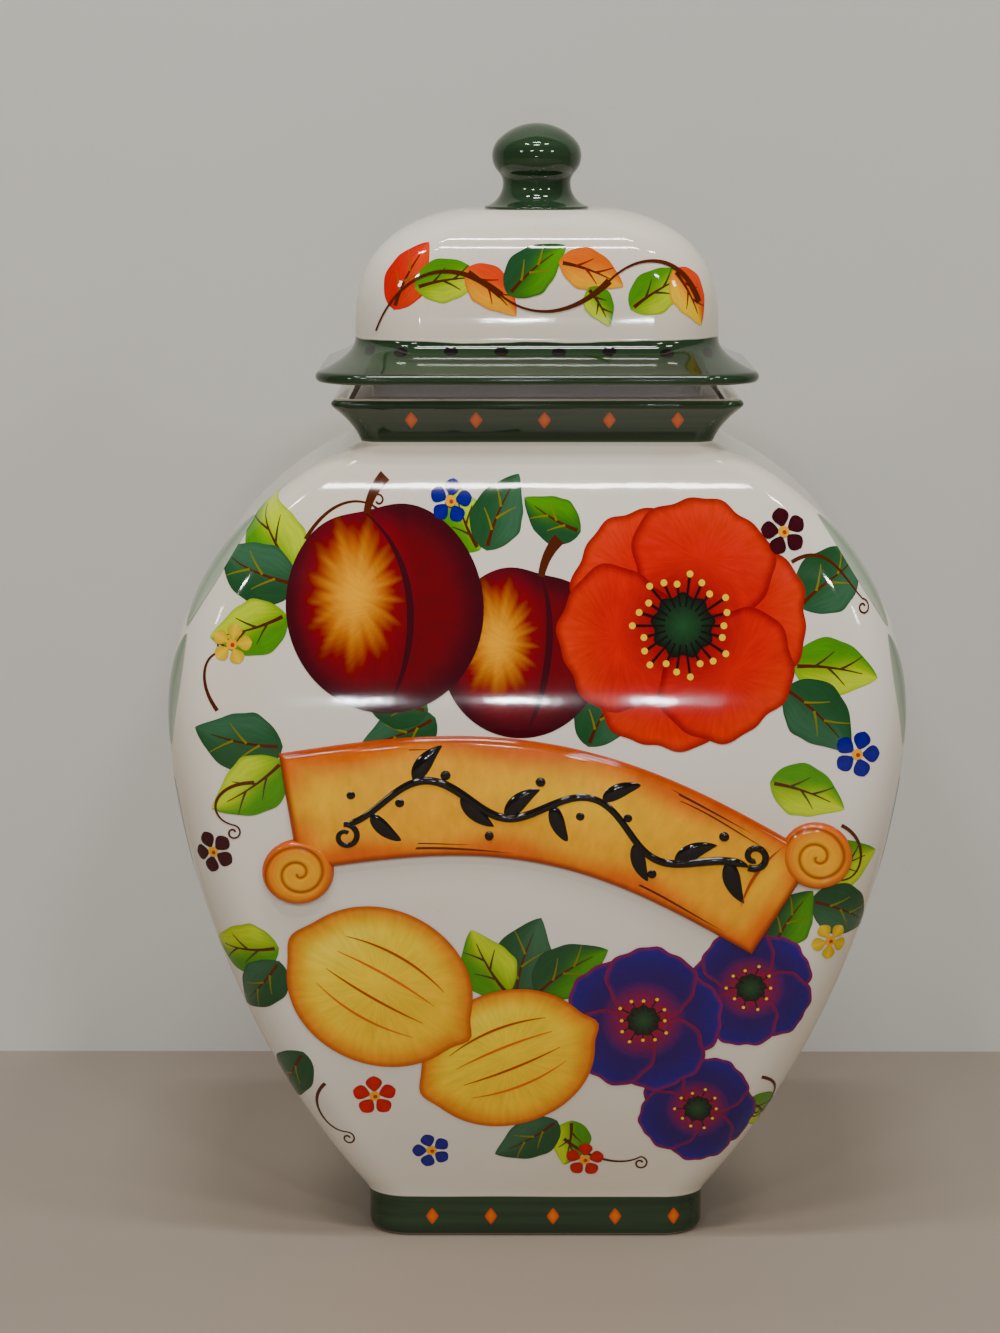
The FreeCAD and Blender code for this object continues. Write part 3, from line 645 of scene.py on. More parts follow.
def shapeOf(place, u, v, tint, closed=False, rise=None):
    # keeps the faces anticlockwise in (run, height), which is outward on every skin
    rows, columns = u.shape
    flat = place.reshape(-1, 2)
    faces = gridFaces(rows, columns, closed)
    corners = flat[faces]
    area = np.cross(corners[:, 2] - corners[:, 0], corners[:, 3] - corners[:, 1]).sum()
    return {"place": flat, "faces": faces if area > 0 else faces[:, ::-1],
            "paintMap": np.stack([u, v], -1).reshape(-1, 2),
            "tint": np.broadcast_to(tint, (rows, columns, 3)).reshape(-1, 3),
            "rise": np.zeros(len(flat)) if rise is None else rise.ravel()}


def brushShape(path, half, colour, columns=7):
    # place = path(u) + v * half(u) * side(u); rise = round section sqrt(1 - v^2) * half(u) / widest
    path = np.asarray(path, float)
    slope = np.gradient(path, axis=0)
    side = np.stack([-slope[:, 1], slope[:, 0]], 1) / np.linalg.norm(slope, axis=1)[:, None]
    half = np.broadcast_to(half, len(path))
    u, v = np.meshgrid(np.linspace(0, 1, len(path)), np.linspace(-1, 1, columns), indexing="ij")
    place = path[:, None] + (v * half[:, None])[..., None] * side[:, None]
    rise = np.sqrt(np.maximum(1 - v ** 2, 0)) * (half / half.max())[:, None]
    return shapeOf(place, u, v, colour(u, v) if callable(colour) else colour, rise=rise)


def blobShape(centre, radius, colour, rows=16, columns=72):
    # place = centre + share * radius(angle) * direction(angle)
    turn = np.linspace(0, 2 * math.pi, columns, endpoint=False)
    share, angle = np.meshgrid(np.linspace(0.02, 1, rows), turn, indexing="ij")
    reach = share * (radius(angle) if callable(radius) else radius)
    offset = np.stack([reach * np.cos(angle), reach * np.sin(angle)], -1)
    place = np.asarray(centre, float) + offset
    tint = colour(share, angle, offset) if callable(colour) else colour
    shape = shapeOf(place, share, angle / (2 * math.pi), tint, closed=True)
    shape["cap"] = np.arange(columns)
    return shape


def bezier(controls, count=24):
    # place = sum of the controls by the binomial weights of u
    controls = np.asarray(controls, float)
    order = len(controls) - 1
    u = np.linspace(0, 1, count)[:, None]
    return sum(math.comb(order, i) * u ** i * (1 - u) ** (order - i) * controls[i] for i in range(order + 1))


def curl(centre, radii, angles, count=40):
    # spiral: the radius goes evenly from the first to the second while the angle turns
    angle = np.radians(np.linspace(*angles, count))
    radius = np.linspace(*radii, count)
    return np.asarray(centre, float) + np.stack([radius * np.cos(angle), radius * np.sin(angle)], 1)


def turned(place, angle, centre=(0, 0)):
    # turns places about a centre by an angle in degrees
    sine, cosine = math.sin(math.radians(angle)), math.cos(math.radians(angle))
    offset = np.asarray(place, float) - centre
    return np.asarray(centre) + np.stack([offset[..., 0] * cosine - offset[..., 1] * sine,
                                          offset[..., 0] * sine + offset[..., 1] * cosine], -1)


def coatLevel(skinName, low, high):
    # one above the highest earlier coat whose box meets this one
    under = [level for start, end, level in laidCoats[skinName] if (low < end).all() and (high > start).all()]
    level = 1 + max(under, default=-1)
    laidCoats[skinName].append((low, high, level))
    return level


def layPaint(name, shapes, skinName, material, body, slotName=None, base=0.0, height=0.0, skin=None):
    points, faces, paintMaps, tints, count = [], [], [], [], 0
    for shape in shapes:
        place = shape["place"]
        level = coatLevel(skinName, place.min(axis=0), place.max(axis=0)) if height == 0 else 0
        lift = base + coat["first"] + coat["step"] * level + height * shape["rise"]
        points.append(laidOn(skin or skins[skinName], place, lift))
        faces += (shape["faces"] + count).tolist()
        if "cap" in shape:
            faces.append((shape["cap"] + count).tolist())
        paintMaps.append(shape["paintMap"])
        tints.append(shape["tint"])
        count += len(place)
    paintMap = np.concatenate(paintMaps)
    piece = meshPiece(name, np.concatenate(points), faces, material, body, paintMap)
    colours = np.concatenate([np.concatenate(tints), np.ones((count, 1))], axis=1)
    piece.data.attributes.new("tint", "FLOAT_COLOR", "POINT").data.foreach_set("color", colours.ravel())
    return piece


def each(makeShapes, ones):
    return [shape for one in ones for shape in makeShapes(one)]


def brushedPaint(name, streak, depth=0.5):
    # the painted colour, lighter and darker along brush hairs; streak is hairs along and across
    material, nodeTree, shader = tree(name)
    place = node(nodeTree, "TexCoord").outputs["Object"]
    colour = node(nodeTree, "Attribute", attribute_name="tint").outputs["Color"]
    uv = node(nodeTree, "UVMap", uv_map="paint").outputs["UV"]
    streaks = maths(nodeTree, "MULTIPLY", hairs(nodeTree, uv, (*streak, 1.0), 0.6), depth)
    pools = maths(nodeTree, "MULTIPLY", noise(nodeTree, place, 90.0, 3.0), 0.35)
    value = maths(nodeTree, "ADD", streaks, pools)
    value = maths(nodeTree, "ADD", value, 1.0 - 0.5 * depth - 0.175)
    toned = node(nodeTree, "HueSaturation", {"Color": colour, "Saturation": 1.12, "Value": value}).outputs[0]
    glossy(nodeTree, shader, toned, place)
    return material


# Painted picture on the front: flowers, plums, lemons and leaves

# colours of a petal from the heart to the rim
warmPetals = ("crimson", "red", "orangeRed")
coolPetals = ("cherry", "violet", "blue")
flowers = [
    {"centre": (40.0, 183.0), "reach": 36.0, "petals": 6, "turn": 12.0, "colours": warmPetals, "heart": 8.5},
    {"centre": (60.0, 80.0), "reach": 19.0, "petals": 5, "turn": 40.0, "colours": coolPetals, "heart": 4.2},
    {"centre": (46.0, 42.0), "reach": 18.0, "petals": 5, "turn": -12.0, "colours": coolPetals, "heart": 4.0},
    {"centre": (30.0, 70.0), "reach": 23.5, "petals": 5, "turn": 8.0, "colours": coolPetals, "heart": 4.6},
]
plums = [
    {"centre": (-4.0, 176.0), "radius": 23.0, "lean": -14.0},
    {"centre": (-42.0, 188.0), "radius": 28.0, "lean": 12.0},
]
lemons = [
    {"centre": (-8.0, 58.0), "half": (27.0, 21.0), "lean": 24.0},
    {"centre": (-44.0, 80.0), "half": (29.0, 23.5), "lean": -32.0},
]


def flowerShapes(flower):
    # petals overlap in turn, each centred at half the reach;
    # petal radius = reach * (0.5 - 0.05 cos 2a + small waves)
    centre, reach, count = np.array(flower["centre"]), flower["reach"], flower["petals"]
    heartTone, middleTone, rimTone = [paints[key] for key in flower["colours"]]
    heart = flower["heart"]
    order = [*range(0, count, 2), *range(1, count, 2)]
    shapes = []
    for number in order:
        lean = math.radians(flower["turn"] + number * 360 / count)
        way = np.array([math.cos(lean), math.sin(lean)])

        def radius(angle, lean=lean, number=number):
            turn = angle - lean
            waves = 0.018 * np.sin(5 * turn + number) + 0.010 * np.sin(11 * turn + 2 * number)
            return reach * (0.50 - 0.05 * np.cos(2 * turn) + waves)

        def colour(share, angle, offset, way=way, lean=lean):
            out = np.linalg.norm(offset + way * reach * 0.5, axis=-1) / reach
            tone = mixed(heartTone, middleTone, (out - 0.12) / 0.4)
            tone = mixed(tone, rimTone, (out - 0.62) / 0.5 * (0.6 + 0.4 * np.cos(angle - lean)))
            return mixed(tone, heartTone * 0.8, smoothStep(0.86, 1.0, share) * 0.7)

        shapes.append(blobShape(centre + way * reach * 0.5, radius, colour, rows=26, columns=96))

    def heartRadius(angle):
        return heart * (1 + 0.07 * np.sin(9 * angle))

    def heartColour(share, angle, offset):
        return mixed(paints["darkGreen"], paints["black"], share)

    shapes.append(blobShape(centre, heartRadius, heartColour, rows=8, columns=54))
    stamens = 2 * round(heart * 1.3)
    for number in range(stamens):
        lean = number * 2 * math.pi / stamens
        tip = heart * (1.32 + 0.16 * (number % 3))
        start, end = [centre + d * np.array([math.cos(lean), math.sin(lean)]) for d in (0.6 * heart, tip)]
        thickening = np.linspace(0.03, 0.045, 8) * heart
        shapes.append(brushShape(bezier([start, end], 8), thickening, paints["black"], 3))
        shapes.append(blobShape(end, 0.11 * heart, paints["yellow"], rows=4, columns=12))
    return shapes


def plumShapes(plum):
    centre, size = np.array(plum["centre"]), plum["radius"]

    def radius(angle):
        turn = angle - math.radians(90 + plum["lean"])
        # a dimple where the stem stands, on a slightly oval outline
        dimple = 0.10 * np.exp(-(np.angle(np.exp(1j * turn)) / 0.35) ** 2)
        return size * (1 - dimple + 0.03 * np.cos(2 * turn))

    def colour(share, angle, offset):
        glow = np.hypot(offset[..., 0] + 0.30 * size, 0.62 * (offset[..., 1] - 0.12 * size)) / size
        tone = mixed(paints["maroon"], paints["wine"], smoothStep(0.62, 1.0, share))
        tone = mixed(paints["cherry"], tone, glow / 0.62)
        around = np.arctan2(offset[..., 1] - 0.12 * size, offset[..., 0] + 0.30 * size)
        streaky = glow * (1 + 0.10 * np.sin(13 * around) + 0.07 * np.sin(29 * around + 2))
        return mixed(paints["gold"], tone, smoothStep(0.02, 0.46, streaky))

    shapes = [blobShape(centre, radius, colour, rows=34, columns=96)]
    top = turned(centre + np.array([0, 0.90 * size]), plum["lean"], centre)
    bends = [centre + np.array(way) * size for way in ((0.42, 0.4), (0.30, -0.5), (0.05, -0.93))]
    swelling = 0.9 * np.sin(np.linspace(0.05, math.pi - 0.05, 30)) + 0.1
    shapes.append(brushShape(bezier([top, *bends], 30), swelling, paints["wine"], 5))
    stem = bezier([top, top + (1, 6), top + (5, 10)], 14)
    shapes.append(brushShape(stem, np.linspace(0.9, 1.7, 14), paints["brown"], 5))
    return shapes


def lemonShapes(lemon):
    centre = np.array(lemon["centre"])
    long, short = lemon["half"]

    def radius(angle):
        turn = np.angle(np.exp(1j * (angle - math.radians(lemon["lean"]))))
        oval = long * short * 0.93 / np.hypot(short * np.cos(turn), 0.93 * long * np.sin(turn))
        tip = np.exp(-(turn / 0.13) ** 2)
        stalkEnd = 0.8 * np.exp(-((np.abs(turn) - math.pi) / 0.17) ** 2)
        return oval + 0.10 * long * (tip + stalkEnd)

    def colour(share, angle, offset):
        light = (offset @ np.array([-0.5, 0.8])) / long
        tone = mixed(paints["lemon"], paints["lemonLight"], 0.5 + 1.2 * light - share * 0.3)
        tone = mixed(tone, paints["orange"], smoothStep(0.66, 1.02, share) * 0.85)
        return mixed(tone, paints["rust"], smoothStep(0.93, 1.0, share) * 0.8)

    shapes = [blobShape(centre, radius, colour, rows=30, columns=108)]
    for number, offset in enumerate((-0.34, -0.12, 0.14, 0.36)):
        line = np.array([(-0.55, offset), (0.0, offset * 1.6), (0.55, offset)]) * (long, short)
        path = turned(centre + line, lemon["lean"], centre)
        swelling = 0.32 * np.sin(np.linspace(0.1, math.pi - 0.1, 30)) + 0.05
        shapes.append(brushShape(bezier(path, 30), swelling, paints["rust" if number % 2 else "orange"], 3))
    return shapes


leafKinds = {
    "lime": ("lime", "leaf", "darkGreen"),
    "dark": ("blueGreen", "darkGreen", "lime"),
    "fern": ("leaf", "darkGreen", "lime"),
}
# root run and height, lean in degrees, length, half width, kind
leaves = [
    (-28, 158, 200, 22, 7.6, "dark"), (-30, 160, 160, 20, 6.8, "fern"), (14, 150, 60, 20, 7.0, "dark"),
    (64, 140, 340, 22, 7.4, "lime"),
    (-66, 196, 118, 27, 8.6, "lime"), (-66, 194, 158, 25, 8.2, "dark"), (-69, 186, 196, 22, 7.6, "lime"),
    (-16, 203, 112, 19, 6.6, "lime"), (-14, 203, 66, 22, 7.2, "dark"), (12, 208, 150, 18, 6.2, "fern"),
    (70, 172, 352, 24, 8.0, "lime"), (68, 166, 316, 25, 8.4, "dark"), (72, 188, 34, 25, 8.4, "dark"),
    (-70, 150, 168, 25, 8.6, "dark"), (-70, 146, 214, 24, 8.2, "lime"),
    (76, 112, 22, 21, 7.4, "lime"), (76, 106, 336, 22, 7.6, "dark"), (-66, 60, 232, 22, 7.2, "dark"),
    (-72, 92, 178, 22, 7.8, "lime"), (-72, 88, 228, 20, 7.0, "dark"), (-6, 76, 74, 26, 9.0, "dark"),
    (-8, 78, 118, 22, 7.8, "lime"), (0, 78, 34, 24, 8.0, "fern"), (10, 38, 262, 15, 5.8, "lime"),
    (6, 38, 212, 21, 6.6, "dark"), (66, 92, 58, 20, 7.0, "fern"), (60, 44, 322, 17, 6.0, "lime"),
]


def leafShapes(root, lean, length, half, kind, tints=None):
    # a blade on a bent midrib: half width = half * sin(pi * u^0.8) with a light wave, light on one side
    first, second, vein = [paints[key] for key in (tints or leafKinds[kind])]
    root = np.asarray(root, float)
    rib = turned(root + np.array([(0, 0), (0.45 * length, 0.10 * length), (length, 0)]), lean, root)
    rows = 34
    u = np.linspace(0, 1, rows)
    blade = half * np.sin(math.pi * u ** 0.8) ** 0.85 * (1 + 0.025 * np.sin(u * 21)) + 0.05

    def colour(u, v):
        tone = mixed(first, second, smoothStep(-0.5, 0.7, v + 0.3 * np.sin(5 * u)))
        tone = mixed(tone, second, smoothStep(0.35, 0.0, u) * 0.7)
        return mixed(tone, second * 0.7, smoothStep(0.82, 1.0, np.abs(v)) * 0.5)

    path = bezier(rib, rows)
    shapes = [brushShape(path, blade, colour, 15)]
    shapes.append(brushShape(path[2:28], np.linspace(0.55, 0.12, 26), paints["brown"], 3))
    for place, side in ((9, 1), (14, -1), (19, 1)):
        slope = path[place + 1] - path[place]
        way = slope / np.linalg.norm(slope)
        across = np.array([-way[1], way[0]]) * side
        tip = path[place] + way * 0.22 * length + across * 0.55 * half
        bend = path[place] + across * 0.25 * half + way * 0.12 * length
        tone = mixed(paints["brown"], vein, np.array(0.25))
        shapes.append(brushShape(bezier([path[place], bend, tip], 10), np.linspace(0.35, 0.1, 10), tone, 3))
    return shapes


# run, height, petal length, turn, petal colour
blossoms = [
    (-24, 216, 6.0, 10, "blue"), (68, 208, 6.4, 30, "wine"), (88, 148, 6.6, 0, "blue"),
    (-90, 120, 6.2, 44, "wine"), (-46, 46, 6.4, 20, "red"), (82, 94, 5.6, 50, "yellow"),
    (-84, 178, 5.6, 5, "yellow"), (-30, 28, 5.6, 36, "blue"), (14, 25, 5.6, 15, "red"),
]


def blossomShapes(run, height, length, turn, petal):
    centre = np.array([run, height], float)
    tone = paints[petal]
    shapes = []

    def colour(u, v):
        return mixed(tone, tone * 0.55, np.abs(v) * 0.7 + (1 - u) * 0.3)

    for number in range(5):
        lean = math.radians(turn + 72 * number)
        way = np.array([math.cos(lean), math.sin(lean)])
        u = np.linspace(0, 1, 14)
        half = 0.36 * length * np.sin(math.pi * u ** 1.3) ** 0.7 + 0.04
        shapes.append(brushShape(bezier([centre + way * 1.2, centre + way * length], 14), half, colour, 7))
    shapes.append(blobShape(centre, 1.5, paints["gold"], rows=5, columns=20))
    shapes.append(blobShape(centre + (0.2, -0.2), 0.6, paints["rust"], rows=3, columns=12))
    return shapes


tendrils = [
    [(70, 200), (80, 206), (84, 196), (90, 190)], [(-64, 206), (-58, 216), (-50, 218), (-44, 214)],
    [(-78, 140), (-90, 140), (-92, 130), (-84, 128)], [(84, 128), (92, 124), (92, 112), (84, 112)],
    [(-60, 50), (-66, 44), (-62, 34), (-54, 34)], [(64, 52), (72, 50), (72, 40), (64, 38)],
    [(8, 32), (14, 26), (24, 22), (30, 26)], [(-88, 160), (-94, 168), (-92, 176), (-86, 176)],
]


def tendrilShapes():
    shapes = []
    for number, controls in enumerate(tendrils):
        path = bezier(controls, 30)
        shapes.append(brushShape(path, np.linspace(0.55, 0.22, 30), paints["brown"], 3))
        end = np.array(controls[-1], float)
        way = 1 if number % 2 else -1
        ring = curl(end + (0, 2.2 * way), (2.2, 0.6), (-90 * way, -90 * way - 430), 30)
        shapes.append(brushShape(ring, np.linspace(0.24, 0.3, 30), paints["brown"], 3))
    return shapes


fruitPaint = brushedPaint("fruitPaint", (3.0, 60.0), 0.55)
leafPaint = brushedPaint("leafPaint", (3.0, 9.0), 0.6)
finePaint = brushedPaint("finePaint", (6.0, 3.0), 0.35)
layPaint("leafPicture", each(lambda one: leafShapes(one[:2], *one[2:]), leaves), "belly", leafPaint, "jar")
layPaint("tendrilPicture", tendrilShapes(), "belly", finePaint, "jar")
layPaint("plumPicture", each(plumShapes, plums), "belly", fruitPaint, "jar")
layPaint("flowerPicture", each(flowerShapes, flowers), "belly", fruitPaint, "jar")
layPaint("lemonPicture", each(lemonShapes, lemons), "belly", fruitPaint, "jar")
layPaint("blossomPicture", each(lambda one: blossomShapes(*one), blossoms), "belly", finePaint, "jar")
print("picture painted, highest coat", max(level for _, _, level in laidCoats["belly"]))

# Raised scroll with rolled ends, and a raised vine on it

scroll = {"width": 140.0, "band": 34.0, "arch": 16.0, "slope": -11.0, "centre": (0.0, 118.0), "roll": 9.5,
          "face": 1.75, "rollFace": 2.3, "edgeRound": 2.2, "sink": 0.4, "rows": 150, "columns": 46}


def scrollPlace(run, off):
    # middle line: x = run, z = arch * cos(pi * run / width);
    # off is measured square to it, and then the whole is turned
    phase = math.pi * run / scroll["width"]
    x, z = run, scroll["arch"] * np.cos(phase)
    slope = -scroll["arch"] * math.pi / scroll["width"] * np.sin(phase)
    length = np.hypot(1, slope)
    flat = np.stack([x - off * slope / length, z + off / length], -1)
    return turned(flat, scroll["slope"]) + scroll["centre"]


def scrollSkin(run, off):
    flat = scrollPlace(run, off)
    return skins["belly"](flat[..., 0], flat[..., 1])


def edgeRise(inward):
    # quarter round at the border: sqrt(1 - (1 - inward / round)^2)
    return np.sqrt(np.clip(1 - (1 - np.clip(inward / scroll["edgeRound"], 0, 1)) ** 2, 0, 1))


def scrollShapes():
    half = (scroll["width"] / 2, scroll["band"] / 2)
    # rows and columns crowd towards the border, where it is rounded
    crowded = [np.sin(np.linspace(-1, 1, scroll[key]) * math.pi / 2) for key in ("rows", "columns")]
    u, v = np.meshgrid(*crowded, indexing="ij")
    run, off = u * half[0], v * half[1]
    inward = np.minimum(half[0] - np.abs(run), half[1] - np.abs(off))
    swell = 0.25 * np.sin(run / 11) * (1 - v ** 2)
    tone = mixed(paints["gold"], paints["orange"], smoothStep(9.0, 1.5, inward + 1.5 * np.sin(run / 7)))
    sheen = 0.55 * np.exp(-((v - 0.15) / 0.35) ** 2) * (0.6 + 0.4 * np.sin(run / 13 + 1))
    tone = mixed(tone, paints["paleGold"], sheen)
    tone = mixed(tone, paints["rust"], smoothStep(2.6, 0.4, inward))
    rise = edgeRise(inward) * (scroll["face"] + swell + scroll["sink"]) - scroll["sink"]
    return [shapeOf(np.stack([run, off], -1), u, v, tone, rise=rise)]


def rollLine(share, turn, width):
    # the rolled edge seen end on: a spiral of 2.2 turns a radius, strongest at its middle
    wind = np.mod(share * 2.2 - turn, 1.0)
    return np.exp(-((wind - 0.5) / width) ** 2) * (share < 0.93)


def rollShapes():
    shapes = []
    radius = scroll["roll"]

    def colour(share, angle, offset):
        tone = mixed(paints["gold"], paints["orange"], smoothStep(0.45, 1.0, share))
        tone = mixed(tone, paints["rust"], smoothStep(0.9, 1, share))
        return mixed(tone, paints["rust"] * 0.6, rollLine(share, angle / (2 * math.pi), 0.10) * 0.9)

    for side in (-1, 1):
        centre = (side * scroll["width"] / 2, side * scroll["band"] / 2)
        shape = blobShape(centre, radius, colour, rows=30, columns=96)
        share, turn = shape["paintMap"].T
        groove = 0.35 * rollLine(share, turn, 0.12)
        full = scroll["rollFace"] - groove + scroll["sink"]
        shape["rise"] = edgeRise((1 - share) * radius) * full - scroll["sink"]
        shapes.append(shape)
    return shapes


vine = {"swing": 5.0, "turns": 2.5, "half": 1.15, "height": 0.62, "reach": 56.0,
        "leafLength": 12.5, "leafHalf": 2.3, "leafCount": 9, "bud": 1.35}


def vinePath(run):
    return np.stack([run, vine["swing"] * np.sin(run / vine["reach"] * math.pi * vine["turns"])], -1)


def vineShapes():
    ink = paints["black"]
    reach = vine["reach"]
    run = np.linspace(-reach, reach, 150)
    half = vine["half"] * np.minimum(1, np.sqrt(np.minimum(run + reach, reach - run) / 3 + 0.02))
    shapes = [brushShape(vinePath(run), half, ink, 9)]
    u = np.linspace(0, 1, 22)
    for number in range(vine["leafCount"]):
        start = -reach + (number + 0.6) * 2 * reach / vine["leafCount"]
        root = vinePath(np.array([start]))[0]
        side = 1 if number % 2 else -1
        lean = side * (48 + 6 * math.sin(number * 2.1))
        rib = root + np.array([(0, 0), (0.5, 0.18 * side), (1, 0)]) * vine["leafLength"]
        blade = vine["leafHalf"] * np.sin(math.pi * u ** 0.7) ** 0.8 + 0.05
        shapes.append(brushShape(bezier(turned(rib, lean, root), 22), blade, ink, 9))
        bud = root + np.array([-4.5, -side * 5.4])
        across = np.linspace(-vine["bud"], vine["bud"], 13)
        middle = np.stack([bud[0] + across, np.full(13, bud[1])], 1)
        chord = np.sqrt(np.maximum((vine["bud"] + 0.01) ** 2 - across ** 2, 0.0004))
        shapes.append(brushShape(middle, chord, ink, 9))
    for side in (-1, 1):
        end = vinePath(np.array([side * reach]))[0]
        path = curl(end + (0, 3.4 * side), (3.6, 1.2), (-90 * side, -90 * side + 400 * side), 44)
        shapes.append(brushShape(path, np.linspace(1.0, 0.75, 44), ink, 9))
    return shapes


# start and end run, distance from the middle line, widest half
scrollLines = [
    (-62, -8, -14.2, 0.34), (14, 60, -14.0, 0.30), (-64, -30, 14.1, 0.26),
    (2, 52, 14.3, 0.36), (-58, -20, -12.6, 0.18), (24, 60, 12.4, 0.2),
]


def lineShapes():
    # thin outline strokes that swell in the middle, half = widest * sin(pi * u)
    shapes = []
    u = np.linspace(0, 1, 60)
    for start, end, off, half in scrollLines:
        path = np.stack([between(start, end, u), off + 0.5 * np.sin(u * 5)], -1)
        swelling = half * np.sin(math.pi * np.clip(u, 0.02, 0.98))
        shapes.append(brushShape(path, swelling, paints["brown"], 3))
    for side in (-1, 1):
        fold = bezier([(side * 61, side * 15), (side * 57, side * 4), (side * 60, side * -6)], 30)
        swelling = 0.45 * np.sin(math.pi * np.clip(u[:30] * 2, 0.02, 0.98))
        shapes.append(brushShape(fold, swelling, paints["rust"], 3))
    return shapes


scrollPaint = brushedPaint("scrollPaint", (26.0, 3.0), 0.45)
slipPaint = brushedPaint("slipPaint", (6.0, 2.0), 0.3)
onScroll = {"skinName": "scroll", "body": "jar", "skin": scrollSkin}
raised = {**onScroll, "material": scrollPaint, "slotName": "gold_glaze", "height": 1.0}
scrollBand = layPaint("scrollBand", scrollShapes(), **raised)
layPaint("scrollRolls", rollShapes(), **raised)
layPaint("scrollLines", lineShapes(), material=finePaint, base=scroll["face"] + 0.02, **onScroll)
layPaint("scrollVine", vineShapes(), material=slipPaint, base=scroll["face"] - 0.12,
         height=vine["height"] + 0.1, **onScroll)
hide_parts("scroll_panel")
print("scroll made")

# Lid garland, rim and foot diamonds, skirt dots and faint side strokes

# run, height, lean, length, half width, three colours from one side to the other
freshLeaf = ("lime", "leaf", "darkGreen")
garland = [
    (-40, 268, 62, 21, 6.2, ("orangeRed", "red", "gold")),
    (-34, 274, 8, 20, 6.0, freshLeaf),
    (-20, 279, 318, 19, 5.6, ("gold", "orangeRed", "red")),
    (-8, 272, 40, 21, 6.4, ("leaf", "darkGreen", "lime")),
    (6, 281, 340, 19, 5.6, ("gold", "orange", "red")),
    (14, 274, 300, 12, 4.0, freshLeaf),
    (26, 268, 30, 20, 6.0, freshLeaf),
    (38, 279, 300, 18, 5.6, ("yellow", "orangeRed", "red")),
]
garlandStems = [
    [(-46, 262), (-36, 282), (-22, 282), (-10, 272)],
    [(-10, 272), (0, 264), (12, 268), (20, 276)],
    [(20, 276), (28, 284), (40, 284), (46, 270)],
]
rimDiamonds = {"runs": (-35, -17, 2, 20, 39), "sideRuns": (72, 90, 108), "height": 237.9, "half": (1.8, 2.5)}
footDiamonds = {"runs": (-30, -13, 5, 23, 40), "sideRuns": (67, 86), "height": 6.2, "half": (1.8, 2.5)}
skirtDots = {"runs": (-48, -38, -24, -10, 6, 20, 36, 49), "sideRuns": (66, 80, 94), "height": 256.4,
             "half": (2.0, 1.15)}


def allRound(one):
    # the runs of the front and of both sides
    return [*one["runs"], *one["sideRuns"], *[-run for run in one["sideRuns"]]]


def diamondShapes(one, runs):
    # (|x| / half width)^n + (|z| / half height)^n = 1; n a little over 1 rounds the diamond off
    half = one["half"]
    power = 1.15

    def radius(angle):
        wide, tall = np.abs(np.cos(angle)) / half[0], np.abs(np.sin(angle)) / half[1]
        return 1 / (wide ** power + tall ** power) ** (1 / power)

    def colour(share, angle, offset):
        return mixed(paints["orange"], paints["rust"], share ** 2)

    return [blobShape((run, one["height"]), radius, colour, rows=6, columns=32) for run in runs]


def dotShapes(one, runs):
    # ovals that sit a little above or below the line, as dabs of a brush do
    half = one["half"]

    def radius(angle):
        return half[0] * half[1] / np.hypot(half[1] * np.cos(angle), half[0] * np.sin(angle))

    return [blobShape((run, one["height"] + 0.3 * math.sin(run)), radius, paints["black"], rows=5, columns=24)
            for run in runs]


# root run and height, lean in degrees, length, half width
sideStrokes = [
    (80, 212, 303, 36, 3.8), (99, 180, 282, 32, 3.8), (106, 140, 264, 32, 3.6), (118, 204, 292, 26, 3.6),
]


def sideShapes():
    shapes = []
    u = np.linspace(0, 1, 34)

    def colour(u, v):
        return mixed(paints["blueGreen"], paints["mist"], 0.35 + 0.5 * np.abs(v) + 0.3 * u)

    for side in (-1, 1):
        for run, height, lean, length, half in sideStrokes:
            root = (side * run, height)
            angle = lean if side > 0 else 180 - lean
            bends = np.array([(0, 0), (0.5, 0.12 * side), (1, 0)]) * length
            blade = half * np.sin(math.pi * u) ** 0.7 + 0.05
            shapes.append(brushShape(bezier(turned(bends + root, angle, root), 34), blade, colour, 11))
    return shapes


def garlandLeaf(one):
    return leafShapes(one[:2], *one[2:5], None, one[5])


def stemShapes(stem):
    thickening = 0.3 + 0.7 * np.linspace(0, 1, 34) ** 2
    return [brushShape(bezier(stem, 34), thickening, paints["brown"], 5)]


layPaint("garlandPicture", each(garlandLeaf, garland), "dome", leafPaint, "lid")
layPaint("garlandStems", each(stemShapes, garlandStems), "dome", finePaint, "lid")
borders = [
    ("rim", "jar", diamondShapes, rimDiamonds),
    ("foot", "jar", diamondShapes, footDiamonds),
    ("skirt", "lid", dotShapes, skirtDots),
]
for band, body, shapesOf, values in borders:
    layPaint(band + "Marks", shapesOf(values, allRound(values)), band, finePaint, body)
    layPaint(band + "MarksBehind", shapesOf(values, values["runs"]), band + "Behind", finePaint, body)
layPaint("sidePicture", sideShapes(), "belly", leafPaint, "jar")
print("garland, diamonds, dots and side strokes made")

# Stage, light and camera

stage = {"floorSize": 9.0, "floor": (0.30, 0.25, 0.205), "wall": (0.58, 0.58, 0.55), "wallBehind": 0.165,
         "world": (0.58, 0.57, 0.55), "worldStrength": 0.27, "aim": (0, 0, 0.16)}
neutral, warm, cool = (1.0, 0.98, 0.95), (1.0, 0.88, 0.72), (0.92, 0.94, 1.0)


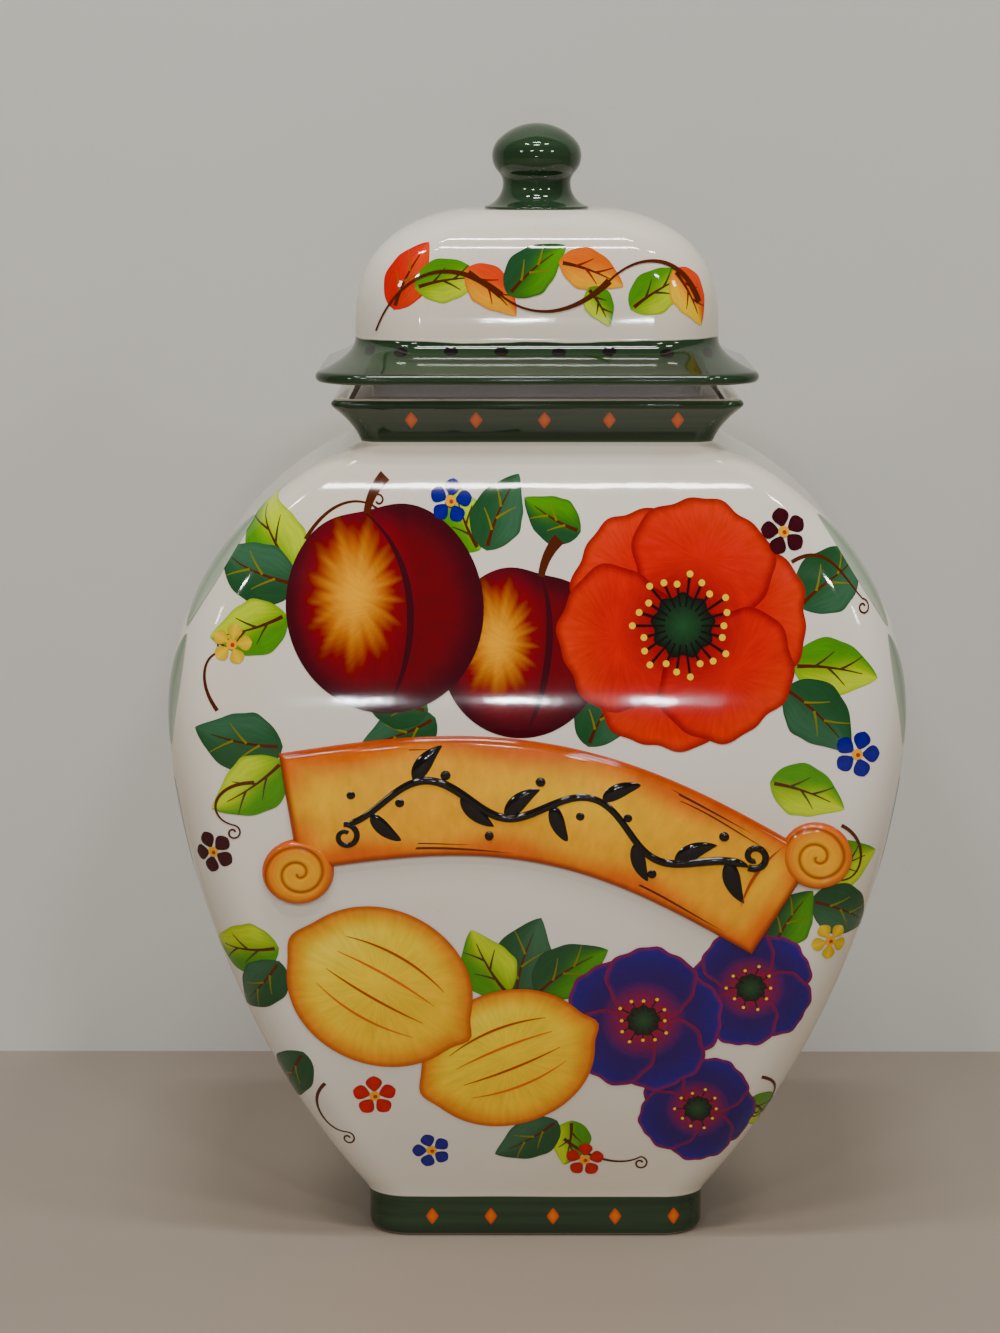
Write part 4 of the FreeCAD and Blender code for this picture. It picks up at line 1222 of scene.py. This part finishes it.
def plainPaint(name, colour, grain):
    material, nodeTree, shader = tree(name)
    place = node(nodeTree, "TexCoord").outputs["Object"]
    share = ramp(nodeTree, noise(nodeTree, place, grain, 5.0), 0.3, 0.7)
    shade = blendColour(nodeTree, share, colour, tuple(value * 1.08 for value in colour))
    nodeTree.links.new(shade, shader.inputs["Base Color"])
    shader.inputs["Roughness"].default_value = 0.62
    # it shows only from its front, so that the jar is seen from behind and from below as well
    behind = node(nodeTree, "NewGeometry").outputs["Backfacing"]
    clear = node(nodeTree, "BsdfTransparent").outputs[0]
    mix = node(nodeTree, "MixShader", {0: behind, 1: shader.outputs[0], 2: clear})
    nodeTree.links.new(mix.outputs[0], nodeTree.nodes["Material Output"].inputs["Surface"])
    return material


def makeStage():
    bpy.ops.mesh.primitive_plane_add(size=stage["floorSize"], location=(0, 0, 0))
    floor = bpy.context.object
    floor.name = "floor"
    floor.data.materials.append(plainPaint("floorPaint", stage["floor"], 5.0))
    place = (0, stage["wallBehind"], stage["floorSize"] / 2)
    bpy.ops.mesh.primitive_plane_add(size=stage["floorSize"], location=place, rotation=(math.pi / 2, 0, 0))
    wall = bpy.context.object
    wall.name = "wall"
    wall.data.materials.append(plainPaint("wallPaint", stage["wall"], 1.5))
    world = bpy.data.worlds.new("studio")
    world.use_nodes = True
    world.node_tree.nodes["Background"].inputs[0].default_value = (*stage["world"], 1)
    world.node_tree.nodes["Background"].inputs[1].default_value = stage["worldStrength"]
    bpy.context.scene.world = world


# name, place, size, power, colour
lamps = [
    ("ceilingMiddle", (0.0, -0.50, 1.60), (0.34, 0.05), 5.2, neutral),
    ("ceilingMiddleFar", (0.0, -0.90, 1.60), (0.34, 0.05), 5.2, neutral),
    ("ceilingLeft", (-0.50, -0.62, 1.55), (0.22, 0.05), 4.2, neutral),
    ("ceilingRight", (0.50, -0.62, 1.55), (0.22, 0.05), 4.2, neutral),
    ("farLeft", (-0.42, -1.80, 1.20), (0.20, 0.05), 5.2, neutral),
    ("farRight", (0.42, -1.80, 1.20), (0.20, 0.05), 5.2, neutral),
    ("warmLeft", (-1.10, -1.20, 0.95), (0.16, 0.16), 3.2, warm),
    ("warmRight", (1.10, -1.20, 0.95), (0.16, 0.16), 3.2, warm),
    ("levelLeft", (-0.13, -1.90, 0.26), (0.026, 0.018), 0.5, cool),
    ("levelMiddle", (0.0, -1.90, 0.26), (0.034, 0.018), 0.65, cool),
    ("levelRight", (0.11, -1.90, 0.26), (0.026, 0.018), 0.5, cool),
]


def makeLamps():
    for name, place, size, power, colour in lamps:
        light = bpy.data.lights.new(name, "AREA")
        light.shape = "RECTANGLE"
        light.size, light.size_y = size
        light.energy = power
        light.color = colour
        holder = bpy.data.objects.new(name, light)
        holder.location = place
        holder.rotation_euler = (Vector(stage["aim"]) - Vector(place)).to_track_quat("-Z", "Y").to_euler()
        bpy.context.scene.collection.objects.link(holder)


# metres and degrees; the focal length is in pixels of a picture of that height
view = {"distance": 1.0, "height": 0.3268, "pitch": 9.344, "yaw": 0.17, "side": -0.0075, "focal": 3470.0,
        "imageHeight": 1333}


def makeCamera():
    camera = bpy.data.cameras.new("camera")
    camera.sensor_fit = "AUTO"
    camera.sensor_width = 36.0
    camera.lens = view["focal"] / view["imageHeight"] * camera.sensor_width
    holder = bpy.data.objects.new("camera", camera)
    holder.location = (view["side"], -view["distance"], view["height"])
    holder.rotation_euler = (math.radians(90 - view["pitch"]), 0, math.radians(view["yaw"]))
    bpy.context.scene.collection.objects.link(holder)
    bpy.context.scene.camera = holder


makeStage()
makeLamps()
makeCamera()
print("stage, light and camera made")
